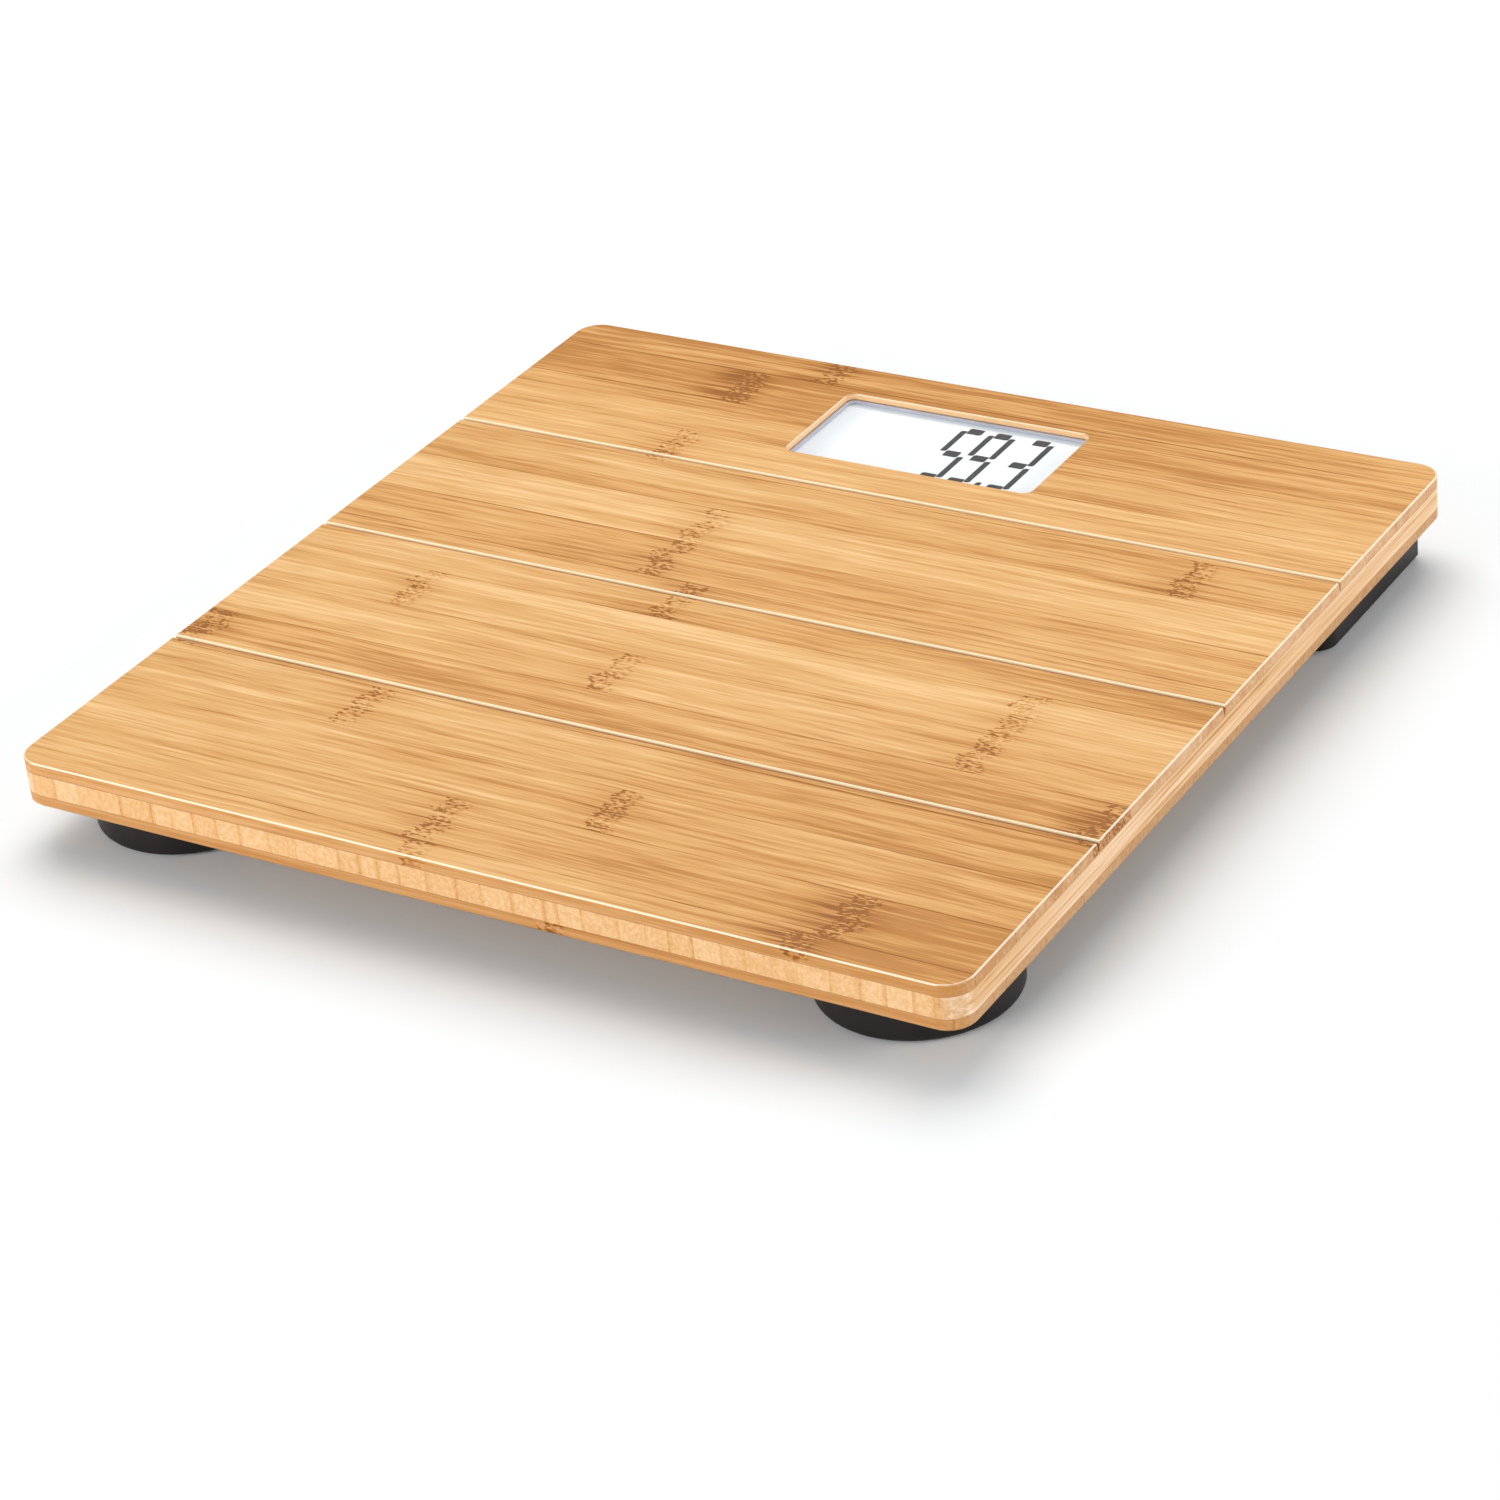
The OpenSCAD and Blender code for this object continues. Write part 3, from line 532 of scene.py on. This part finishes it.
def bamboo_core():
    """The core ply: strips of random widths from front to back, some with darker rind edges."""
    m = Bamboo("bamboo_core_ply", along_x=False)
    cells = m.node("ShaderNodeTexVoronoi", voronoi_dimensions="1D", feature="F1")
    edges = m.node("ShaderNodeTexVoronoi", voronoi_dimensions="1D", feature="DISTANCE_TO_EDGE")
    for texture in (cells, edges):
        m.link(m.across, texture.inputs["W"])
        texture.inputs["Scale"].default_value = 1 / CORE_STRIP_W
        texture.inputs["Randomness"].default_value = 1.0
    edge = edges.outputs["Distance"]
    number, lightness, rind_share = m.channels(cells.outputs["Color"])
    strip = m.math("MULTIPLY", number, CORE_STRIP_NUMBERS)
    streak = m.fibres(strip, along_scale=0.012, across_scale=0.8, detail=3.0)
    thread = m.fibres(strip, along_scale=0.03, across_scale=2.4)
    tone = m.math("MULTIPLY_ADD", lightness, 0.22, 0.70)
    contrast = m.math("MULTIPLY_ADD", m.math("ABSOLUTE", m.nx), 1.3, 1.1)
    tone = m.vary(tone, streak, contrast)
    tone = m.vary(tone, thread, 0.55)
    tone = m.add(tone, m.bundles(strip, size=0.75), -0.28)
    rind = m.ramp(edge, 0.0, 0.22, 1.0, 0.0)
    rind = m.math("MULTIPLY", rind, m.ramp(rind_share, 0.3, 0.9))
    tone = m.add(tone, rind, -0.36)
    tone = m.add(tone, m.ramp(edge, 0.010, 0.04, 1.0, 0.0), -0.15)
    colour = m.finish(tone, CORE_END, CORE_SIDE, streak, side_tone=1.0, calm=0.15)
    m.colour(m.mix(glue_line(m), colour, GLUE))
    m.roughness(m.ramp(thread, 0.3, 0.7, 0.42, 0.56))
    return m.material


def bamboo_bottom():
    """The bottom ply: strips like the top ply's, with their tones and knuckles left to chance."""
    m = Bamboo("bamboo_bottom_ply", along_x=True)
    position = m.math("DIVIDE", m.math("SUBTRACT", m.across, BOTTOM_FIRST_JOINT), STRIP_W)
    strip = m.math("FLOOR", position)
    within = m.math("FRACT", position)
    random = m.node("ShaderNodeTexWhiteNoise", noise_dimensions="1D")
    m.link(strip, random.inputs["W"])
    place, lightness, _ = m.channels(random.outputs["Color"])
    reach = BOTTOM_KNUCKLE_REACH
    centre = m.ramp(place, 0.0, 1.0, -reach, reach, smooth=False)
    seam, band, shade = m.knuckle(centre, strip)
    streak = m.fibres(strip, along_scale=0.010, across_scale=0.75, detail=3.0)
    thread = m.fibres(strip, along_scale=0.03, across_scale=2.6)
    dashes = m.ramp(m.flecks(strip), 0.38, 0.62, -0.50, 0.22)
    tone = m.math("MULTIPLY_ADD", lightness, 0.30, 0.35)
    tone = m.vary(tone, streak, 1.2)
    tone = m.vary(tone, thread, 0.75)
    tone = m.add(tone, m.bundles(strip, size=0.8), -0.12)
    tone = m.add(tone, shade, -0.10)
    tone = m.add(tone, m.math("MAXIMUM", band, seam), dashes)
    joint = m.math("ABSOLUTE", m.math("SUBTRACT", within, 0.5))
    tone = m.add(tone, m.ramp(joint, 0.485, 0.496), -0.30)
    m.colour(m.finish(tone, BOTTOM_END, BOTTOM_SIDE, streak, side_tone=0.45, calm=0.3))
    m.roughness(m.ramp(thread, 0.3, 0.7, 0.40, 0.54))
    return m.material


# ---------------------------------------------------------------- other materials

# Brushed metal's noise along x, y and z, per millimetre
BRUSH_SCALES = (1.0, 12.0, 12.0)


def moulded_plastic(name, dark, light, roughness, grain=0.5, **sockets):
    """Moulded plastic with a fine spark-eroded texture and faint cloudiness."""
    m = Shading(name, **sockets)
    at = m.vector(*m.place())
    fine = m.noise(at, scale=1 / grain, detail=3.0, roughness=0.6)
    cloud = m.noise(at, scale=0.06)
    tone = m.math("ADD", cloud, m.math("MULTIPLY", fine, 0.3))
    m.colour(m.mix(m.ramp(tone, 0.4, 0.9), dark, light))
    m.roughness(m.ramp(fine, 0.25, 0.75, roughness - 0.06, roughness + 0.08))
    m.bump(fine, depth=0.02 * MM, strength=0.6)
    return m.material


def brushed_metal(name, dark, light, roughness):
    """Rolled or turned metal with fine lines along x and faint stains."""
    m = Shading(name, roughness=roughness, Metallic=1.0)
    place = m.place()
    squeezed = [m.math("MULTIPLY", value, k) for value, k in zip(place, BRUSH_SCALES)]
    lines = m.noise(m.vector(*squeezed), detail=3.0)
    stain = m.noise(m.vector(*place), scale=0.25, detail=3.0)
    tone = m.math("MULTIPLY_ADD", stain, 0.6, lines)
    m.colour(m.mix(m.ramp(tone, 0.5, 1.1), dark, light))
    m.roughness(m.ramp(lines, 0.3, 0.7, roughness - 0.08, roughness + 0.1))
    m.bump(lines, depth=0.01 * MM, strength=0.5)
    return m.material


def lcd_glass():
    """Pale, faintly mottled liquid-crystal panel; painted shadow near the bezel's left and rear."""
    m = Shading("lcd_glass", roughness=0.35, Specular_IOR_Level=0.4)
    x, y, z = m.place()
    at = m.vector(x, y, z)
    speck = m.noise(at, scale=3.0, detail=3.0, roughness=0.6)
    cloud = m.noise(at, scale=0.05, detail=1.0)
    tone = m.math("MULTIPLY_ADD", speck, 0.25, m.math("MULTIPLY", cloud, 0.5))
    pale = m.mix(m.ramp(tone, 0.2, 0.6), linear(236, 245, 252), linear(247, 252, 255))
    # Painted shadow along the panel's left and rear edges
    from_left = m.math("SUBTRACT", x, LENS_LOW.x / MM)
    from_rear = m.math("SUBTRACT", LENS_HIGH.y / MM, y)
    left_painted_shadow = m.ramp(from_left, 1.5, 14.0, 0.5, 0.0)
    rear_painted_shadow = m.ramp(from_rear, 1.3, 3.6, 1.0, 0.0)
    shade = m.math("MAXIMUM", left_painted_shadow, rear_painted_shadow)
    m.colour(m.mix(shade, pale, linear(188, 201, 215)))
    m.roughness(m.ramp(speck, 0.3, 0.7, 0.3, 0.42))
    return m.material


def lcd_ink():
    """Dark liquid-crystal segments, with the faint grain of the layer behind them."""
    m = Shading("lcd_segments", roughness=0.5, Specular_IOR_Level=0.1)
    speck = m.noise(m.vector(*m.place()), scale=4.0)
    m.colour(m.mix(m.ramp(speck, 0.3, 0.7), linear(12, 12, 14), linear(20, 20, 22)))
    m.bump(speck, depth=0.005 * MM, strength=0.3)
    return m.material


def clear_window():
    """Clear plate over the display, with faint wipe marks in its gloss."""
    m = Shading("clear_plastic", roughness=0.06, Alpha=0.04, Specular_IOR_Level=0.2)
    x, y, z = m.place()
    wipe = m.noise(m.vector(m.math("MULTIPLY", x, 0.05), m.math("MULTIPLY", y, 0.6), z))
    m.colour(m.mix(wipe, linear(232, 238, 248), linear(250, 252, 255)))
    m.roughness(m.ramp(wipe, 0.3, 0.7, 0.04, 0.10))
    return m.material


def board_laminate():
    """Green solder mask with copper tracks showing through it."""
    m = Shading("circuit_board", roughness=0.35, Specular_IOR_Level=0.5)
    at = m.vector(*m.place())
    tracks = m.node("ShaderNodeTexBrick")
    m.link(at, tracks.inputs["Vector"])
    tracks.inputs["Scale"].default_value = 0.5
    tracks.inputs["Mortar Size"].default_value = 0.06
    track = tracks.outputs["Fac"]
    weave = m.noise(at, scale=1.4)
    mask = m.mix(m.ramp(weave, 0.3, 0.7), linear(18, 74, 42), linear(26, 92, 52))
    m.colour(m.mix(m.math("MULTIPLY", track, 0.5), mask, linear(70, 132, 80)))
    m.roughness(m.ramp(weave, 0.3, 0.7, 0.30, 0.42))
    m.bump(track, depth=0.03 * MM, strength=0.5)
    return m.material


def soft_rubber(name, dark, light, grain):
    """Matt rubber or foam with a rough grain, whose size is in millimetres."""
    m = Shading(name, roughness=0.85, Specular_IOR_Level=0.3)
    fine = m.noise(m.vector(*m.place()), scale=1 / grain, detail=4.0, roughness=0.65)
    m.colour(m.mix(m.ramp(fine, 0.3, 0.7), dark, light))
    m.roughness(m.ramp(fine, 0.3, 0.7, 0.78, 0.92))
    m.bump(fine, depth=0.04 * MM, strength=0.6)
    return m.material


def gauge_film():
    """Amber film with the zigzag of a foil strain gauge."""
    m = Shading("gauge_film", roughness=0.4)
    wave = m.node("ShaderNodeTexWave", wave_type="BANDS", bands_direction="Y")
    m.link(m.vector(*m.place()), wave.inputs["Vector"])
    wave.inputs["Scale"].default_value = 0.35
    foil = wave.outputs["Fac"]
    m.colour(m.mix(foil, linear(176, 120, 40), linear(214, 170, 90)))
    m.bump(foil, depth=0.02 * MM, strength=0.4)
    return m.material


def floor_paint():
    """Matt pale paint with faint clouds in it."""
    m = Shading("studio_floor", roughness=0.9, Specular_IOR_Level=0.1)
    cloud = m.noise(m.vector(*m.place()), scale=0.002)
    m.colour(m.mix(cloud, (0.885, 0.93, 0.972, 1), (0.905, 0.95, 0.992, 1)))
    return m.material


# ---------------------------------------------------------------- mesh helpers


def new_object(name, vertices, faces):
    """A new object from points and faces, with its faces turned outwards and smoothed."""
    mesh = bpy.data.meshes.new(name)
    mesh.from_pydata(vertices, [], faces)
    mesh.validate()
    solid = bmesh.new()
    solid.from_mesh(mesh)
    bmesh.ops.recalc_face_normals(solid, faces=solid.faces)
    solid.to_mesh(mesh)
    solid.free()
    made = bpy.data.objects.new(name, mesh)
    bpy.context.scene.collection.objects.link(made)
    smooth_by_angle(made, SHARP_ANGLE)
    return made


def smooth_by_angle(item, angle):
    """Smooths an object's shading, except over edges sharper than the angle in degrees."""
    for face in item.data.polygons:
        face.use_smooth = True
    item.data.set_sharp_from_angle(angle=math.radians(angle))


def apply_modifiers(item):
    """Replaces an own piece's mesh by the result of its modifiers."""
    graph = bpy.context.evaluated_depsgraph_get()
    item.data = bpy.data.meshes.new_from_object(item.evaluated_get(graph))
    item.modifiers.clear()


def cut(piece, cutter):
    """Takes the cutter out of the piece, and removes the cutter."""
    tool = piece.modifiers.new("cut", "BOOLEAN")
    tool.operation = "DIFFERENCE"
    tool.solver = "EXACT"
    tool.object = cutter
    apply_modifiers(piece)
    bpy.data.objects.remove(cutter)


def quarter_round(radius, steps, last=90):
    """(inset, drop) pairs of a rounded edge, from the side wall inwards and upwards."""
    angles = [math.radians(last * i / steps) for i in range(steps + 1)]
    return [(radius * (1 - math.cos(a)), radius * (1 - math.sin(a))) for a in angles]


def outline(half_w, half_d, radius):
    """A rounded rectangle's points, anticlockwise from the right end of its front edge."""
    points = []
    for corner, (side_x, side_y) in enumerate([(1, -1), (1, 1), (-1, 1), (-1, -1)]):
        centre_x = side_x * (half_w - radius)
        centre_y = side_y * (half_d - radius)
        for i in range(CORNER_STEPS + 1):
            a = math.radians(90 * (corner - 1) + 90 * i / CORNER_STEPS)
            points.append((centre_x + radius * math.cos(a), centre_y + radius * math.sin(a)))
    return points


def outline_loop(centre, half, margin, radius, z):
    """A rounded rectangle's points at a height. A margin makes it larger than its half size."""
    points = outline(half.x + margin, half.y + margin, radius)
    return [(centre.x + x, centre.y + y, z) for x, y in points]


def lofted(name, loops):
    """A closed solid through loops of points with equal counts, capped at both ends."""
    count = len(loops[0])
    vertices = [point for loop in loops for point in loop]
    faces = []
    for level in range(len(loops) - 1):
        for i in range(count):
            j = (i + 1) % count
            low = level * count
            high = low + count
            faces.append((low + i, low + j, high + j, high + i))
    faces.append(tuple(reversed(range(count))))
    faces.append(tuple((len(loops) - 1) * count + i for i in range(count)))
    return new_object(name, vertices, faces)


# ---------------------------------------------------------------- platform


def groove_profile():
    """(y offset, depth) samples over half a groove, from its shoulder to its bottom."""
    wall = math.atan2(GROOVE_DEPTH, GROOVE_HALF)
    reach = GROOVE_SHOULDER_R * math.tan(wall / 2)
    samples = [(GROOVE_HALF + reach, 0.0)]
    for i in range(1, SHOULDER_STEPS + 1):
        a = wall * i / SHOULDER_STEPS
        offset = GROOVE_HALF + reach - GROOVE_SHOULDER_R * math.sin(a)
        samples.append((offset, GROOVE_SHOULDER_R * (1 - math.cos(a))))
    samples.append((GROOVE_HALF * 0.45, GROOVE_DEPTH * 0.55))
    samples.append((0.12 * MM, GROOVE_DEPTH * 0.93))
    samples.append((0.0, GROOVE_DEPTH))
    return samples


def board_stations():
    """(y, groove depth) stations along a straight side of the board, from front to rear."""
    half = groove_profile()
    stations = []
    for centre in GROOVE_YS:
        stations += [(centre - offset, depth) for offset, depth in half]
        stations += [(centre + offset, depth) for offset, depth in reversed(half[:-1])]
    return stations


def side_points(inset):
    """(x distance, y, groove depth) from the front edge, round the corners, to the rear edge."""
    radius = CORNER_R - inset
    arc = [math.radians(90 * i / CORNER_STEPS) for i in range(CORNER_STEPS + 1)]
    centre_x = HALF_W - CORNER_R
    centre_y = HALF_D - CORNER_R
    front = [(centre_x + radius * math.sin(a), -centre_y - radius * math.cos(a), 0) for a in arc]
    middle = [(HALF_W - inset, y, depth) for y, depth in board_stations()]
    rear = [(x, -y, 0) for x, y, _ in reversed(front)]
    return front + middle + rear


def top_ply():
    """The grooved top ply as rings round its edge and quads across its face, with its window."""
    rings = [[(x, y, PLY_LOW.z) for x, y, _ in side_points(0)]]
    for inset, drop in quarter_round(EDGE_R, EDGE_STEPS):
        rings.append([(x, y, TOP_Z - max(drop, depth)) for x, y, depth in side_points(inset)])
    count = len(rings[0])
    vertices = []
    for ring in rings:
        vertices += [(-x, y, z) for x, y, z in ring]
        vertices += ring

    def left(level, i):
        """The index of a ring's point on the left side of the board."""
        return level * 2 * count + i

    def right(level, i):
        """The index of the same point on the right side."""
        return left(level, i) + count

    faces = []
    last = len(rings) - 1
    for level in range(last):
        above = level + 1
        for i in range(count - 1):
            for side in (left, right):
                low = (side(level, i), side(level, i + 1))
                faces.append((*low, side(above, i + 1), side(above, i)))
        for i in (0, count - 1):
            faces.append((left(level, i), right(level, i), right(above, i), left(above, i)))
    for level in (0, last):
        for i in range(count - 1):
            near = (left(level, i), right(level, i))
            faces.append((*near, right(level, i + 1), left(level, i + 1)))
    board = new_object("bamboo_top", vertices, faces)
    cut(board, window_cutter())
    cut(board, recess_cutter())
    smooth_by_angle(board, BOARD_SHARP_ANGLE)
    return board


def window_cutter():
    """The window's opening, which flares at the top where its rim is rounded."""
    rim = quarter_round(WINDOW_RIM_R, RIM_STEPS, RIM_TURN)
    flare = [(inset, TOP_Z - drop) for inset, drop in rim]
    levels = [(0, PLY_LOW.z - MM)] + flare + [(flare[-1][0], TOP_Z + MM)]
    loops = []
    for wider, z in levels:
        margin = WINDOW_MARGIN + wider
        loops.append(outline_loop(LENS_CENTRE, LENS_HALF, margin, WINDOW_R + wider, z))
    return lofted("window_cutter", loops)


def recess_cutter():
    """The pocket under the window, which the bezel and its gasket fill."""
    low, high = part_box("display_bezel")
    gasket_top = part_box("display_gasket")[1].z
    centre = (low + high) / 2
    half = (high - low) / 2
    heights = (PLY_LOW.z - MM, gasket_top)
    loops = [outline_loop(centre, half, RECESS_MARGIN, RECESS_R, z) for z in heights]
    return lofted("recess_cutter", loops)


# ---------------------------------------------------------------- display

# The digits are flat bars. Their sizes and places are in millimetres, in the frame's x and y.
DIGIT_W = 9.3
DIGIT_H = 34.9
DIGIT_BASE_Y = 95.0
SEGMENT_ROW = 3.7
SEGMENT_COLUMN = 2.0
SEGMENT_GAP = 0.15
SEGMENT_NICK = 0.6
DIGIT_T = 0.03
DIGITS = [(0.6, "5"), (10.1, "9"), (23.4, "3")]
POINT_X, POINT_Y = (22.3, 97.0)
POINT_HALF_W, POINT_HALF_H = (0.9, 1.6)
SEGMENTS = {"5": "afgcd", "9": "afgbcd", "3": "abgcd"}


def segment_box(name):
    """A segment's left, lower, right and upper limits in its digit, in millimetres."""
    middle = DIGIT_H / 2
    inner_left = SEGMENT_COLUMN + SEGMENT_GAP
    inner_right = DIGIT_W - inner_left
    outer_right = DIGIT_W - SEGMENT_COLUMN
    half_row = SEGMENT_ROW / 2
    upper = middle + half_row / 2
    lower = middle - half_row / 2
    end = SEGMENT_ROW * 0.6
    return {
        "a": (inner_left, DIGIT_H - SEGMENT_ROW, inner_right, DIGIT_H),
        "b": (outer_right, upper, DIGIT_W, DIGIT_H - end),
        "c": (outer_right, end, DIGIT_W, lower),
        "d": (inner_left, 0, inner_right, SEGMENT_ROW),
        "f": (0, upper, SEGMENT_COLUMN, DIGIT_H - end),
        "g": (inner_left, middle - half_row, inner_right, middle + half_row),
    }[name]


def nicked_bar(left, low, right, high):
    """A bar's corners, with two opposite corners cut off."""
    nick = SEGMENT_NICK
    return [
        (left, low),
        (right - nick, low),
        (right, low + nick),
        (right, high),
        (left + nick, high),
        (left, high - nick),
    ]


def display_digits():
    """The reading, as thin segments just over the liquid-crystal glass."""
    outlines = []
    for left, digit in DIGITS:
        for name in SEGMENTS[digit]:
            bar = nicked_bar(*segment_box(name))
            outlines.append([(left + x, DIGIT_BASE_Y + y) for x, y in bar])
    point_low = (POINT_X - POINT_HALF_W, POINT_Y - POINT_HALF_H)
    point_high = (POINT_X + POINT_HALF_W, POINT_Y + POINT_HALF_H)
    outlines.append(nicked_bar(*point_low, *point_high))
    vertices = []
    faces = []
    for points in outlines:
        start = len(vertices)
        n = len(points)
        for z in (LCD_TOP, LCD_TOP + DIGIT_T * MM):
            vertices += [(x * MM, y * MM, z) for x, y in points]
        faces.append(tuple(start + i for i in range(n)))
        faces.append(tuple(start + n + i for i in reversed(range(n))))
        for i in range(n):
            j = (i + 1) % n
            faces.append((start + i, start + j, start + n + j, start + n + i))
    return new_object("lcd_digits", vertices, faces)


def display_window():
    """The lens, a thin plate with all its edges rounded, one digit's thickness over the digits."""
    low = LCD_TOP + 2 * DIGIT_T * MM
    edge = quarter_round(LENS_EDGE_R, LENS_EDGE_STEPS)
    levels = [(inset, low + drop) for inset, drop in reversed(edge)]
    levels += [(inset, LENS_HIGH.z - drop) for inset, drop in edge]
    loops = [outline_loop(LENS_CENTRE, LENS_HALF, -inset, LENS_R - inset, z) for inset, z in levels]
    return lofted("display_window", loops)


# ---------------------------------------------------------------- camera, stage and light

CAMERA_AIM = Vector((0.04158, -0.06902, TOP_Z))
CAMERA_PLACE = Vector((0.62819, -0.94378, 0.63933))
CAMERA_ROLL = -6.11
FOCAL_LENGTH = 107.39
SENSOR_WIDTH = 36

FLOOR_R = 0.95
FLOOR_SIDES = 96

# The world's strength goes from the horizon's to the sky's between these heights of a direction
SKY_COLOUR = (0.86, 0.94, 1, 1)
HORIZON_HEIGHT = 0.08
SKY_HEIGHT = 0.18
HORIZON_STRENGTH = 1.15
SKY_STRENGTH = 0.30

# Each softbox: its name, place, width and height in metres, power in watts, and colour
SOFTBOXES = [
    ("key_left_rear", (-0.6, 1.0, 1.8), (2.1, 2.1), 42, (1, 0.93, 0.86)),
    ("front_left", (-0.8, -1.7, 0.65), (1.4, 0.7), 24, (1, 0.95, 0.90)),
    ("right", (1.7, 0.4, 0.55), (1.4, 0.7), 18, (1, 0.95, 0.90)),
]


def add_camera():
    """Looks down on the scale from its front right, slightly rolled."""
    data = bpy.data.cameras.new("camera")
    data.sensor_width = SENSOR_WIDTH
    data.lens = FOCAL_LENGTH
    data.clip_start = 0.05
    data.clip_end = 100
    camera = bpy.data.objects.new("camera", data)
    bpy.context.scene.collection.objects.link(camera)
    turn = (CAMERA_AIM - CAMERA_PLACE).to_track_quat("-Z", "Y").to_matrix().to_4x4()
    roll = Matrix.Rotation(math.radians(CAMERA_ROLL), 4, "Z")
    camera.matrix_world = Matrix.Translation(CAMERA_PLACE) @ turn @ roll
    bpy.context.scene.camera = camera


def add_softbox(name, place, size, power, colour):
    """A rectangular lamp that faces the middle of the floor."""
    data = bpy.data.lights.new(name, "AREA")
    data.shape = "RECTANGLE"
    data.size, data.size_y = size
    data.energy = power
    data.color = colour
    lamp = bpy.data.objects.new(name, data)
    bpy.context.scene.collection.objects.link(lamp)
    lamp.location = place
    lamp.rotation_euler = (-Vector(place)).to_track_quat("-Z", "Y").to_euler()


def add_world():
    """Faint even light from above, and a pale horizon that the floor runs into."""
    world = bpy.data.worlds.new("studio")
    world.use_nodes = True
    tree = world.node_tree
    background = tree.nodes["Background"]
    background.inputs["Color"].default_value = SKY_COLOUR
    coordinates = tree.nodes.new("ShaderNodeTexCoord")
    split = tree.nodes.new("ShaderNodeSeparateXYZ")
    tree.links.new(coordinates.outputs["Generated"], split.inputs[0])
    fade = tree.nodes.new("ShaderNodeMapRange")
    fade.inputs["From Min"].default_value = HORIZON_HEIGHT
    fade.inputs["From Max"].default_value = SKY_HEIGHT
    fade.inputs["To Min"].default_value = HORIZON_STRENGTH
    fade.inputs["To Max"].default_value = SKY_STRENGTH
    tree.links.new(split.outputs["Z"], fade.inputs["Value"])
    tree.links.new(fade.outputs["Result"], background.inputs["Strength"])
    bpy.context.scene.world = world


def add_stage():
    """A round pale floor under the softboxes."""
    angles = [math.radians(360 * i / FLOOR_SIDES) for i in range(FLOOR_SIDES)]
    rim = [(FLOOR_R * math.cos(a), FLOOR_R * math.sin(a), 0) for a in angles]
    floor = new_object("studio_floor", rim, [tuple(range(FLOOR_SIDES))])
    floor.data.materials.append(floor_paint())
    add_world()
    bpy.context.scene.view_settings.view_transform = "Standard"
    for softbox in SOFTBOXES:
        add_softbox(*softbox)


# ---------------------------------------------------------------- putting it together


def dress(material, *names):
    """Gives carried-over CAD nodes a material."""
    for name in names:
        NODES[name].data.materials.clear()
        NODES[name].data.materials.append(material)


def add_piece(piece, material, slot, *replaced):
    """Gives an own piece its material and body, and hides the nodes it stands for (slot unused)."""
    piece.data.materials.clear()
    piece.data.materials.append(material)
    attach(piece, "platform")
    if replaced:
        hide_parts(*replaced)


def feet(part):
    """The names of all four feet's nodes of one kind."""
    return [f"{end}_{side}_{part}" for end in ("front", "rear") for side in ("left", "right")]


add_camera()
add_stage()

add_piece(top_ply(), bamboo_top(), "bamboo", "platform_top_ply")
add_piece(display_window(), clear_window(), "clear_plastic", "display_lens")
add_piece(display_digits(), lcd_ink(), "lcd_glass")
dress(bamboo_core(), "platform_core_ply")
dress(bamboo_bottom(), "platform_bottom_ply")

BLACK = moulded_plastic(
    "black_plastic", linear(20, 16, 16), linear(34, 29, 29), 0.42, Specular_IOR_Level=0.3
)
dress(BLACK, "rear_housing", "left_wire_cover", "right_wire_cover")
dress(BLACK, "front_left_foot_base", "front_right_foot_base", *feet("foot_cap"))
GREY = moulded_plastic("grey_plastic", linear(78, 78, 80), linear(96, 96, 98), 0.5)
dress(GREY, "battery_door", "unit_button", "unit_switch_plunger")
# The bezel's white plastic is coloured lavender grey: painted shade of the recess it sits in
PALE = moulded_plastic("pale_plastic", linear(182, 184, 197), linear(200, 202, 213), 0.45)
dress(PALE, "display_bezel")
COMPONENT = moulded_plastic("component_black", linear(20, 20, 22), linear(38, 38, 40), 0.55, 0.3)
dress(COMPONENT, "pcb_components", "unit_switch_body")
WIRE = moulded_plastic("wire_insulation", linear(140, 24, 20), linear(176, 36, 30), 0.45, 0.3)
dress(WIRE, "battery_leads", *feet("wires"))

RUBBER = soft_rubber("rubber_pad", linear(40, 39, 40), linear(62, 60, 60), 0.5)
dress(RUBBER, *feet("foot_pad"))
ZEBRA = soft_rubber("conductive_rubber", linear(66, 66, 68), linear(88, 88, 90), 0.25)
dress(ZEBRA, "zebra_connectors")
FOAM = soft_rubber("foam", linear(50, 50, 52), linear(86, 86, 88), 0.4)
dress(FOAM, "display_gasket")

STEEL = brushed_metal("screw_steel", linear(150, 150, 154), linear(205, 205, 208), 0.3)
dress(STEEL, "pcb_screws", "housing_screws", "foot_screws", "load_cell_screws")
CELL_STEEL = brushed_metal("load_cell_steel", linear(130, 134, 140), linear(190, 194, 200), 0.38)
dress(CELL_STEEL, *feet("load_cell"))
BATTERY = brushed_metal("battery_steel", linear(170, 170, 172), linear(220, 220, 222), 0.25)
dress(BATTERY, "battery_cell")
BRASS = brushed_metal("contact_brass", linear(186, 150, 78), linear(226, 194, 120), 0.3)
dress(BRASS, "battery_contact_negative", "battery_contact_positive")
REFLECTOR = brushed_metal("reflector", linear(200, 200, 204), linear(232, 232, 236), 0.4)
dress(REFLECTOR, "lcd_reflector")

dress(gauge_film(), *feet("strain_gauge"))
dress(lcd_glass(), "lcd_panel")
dress(board_laminate(), "circuit_board")
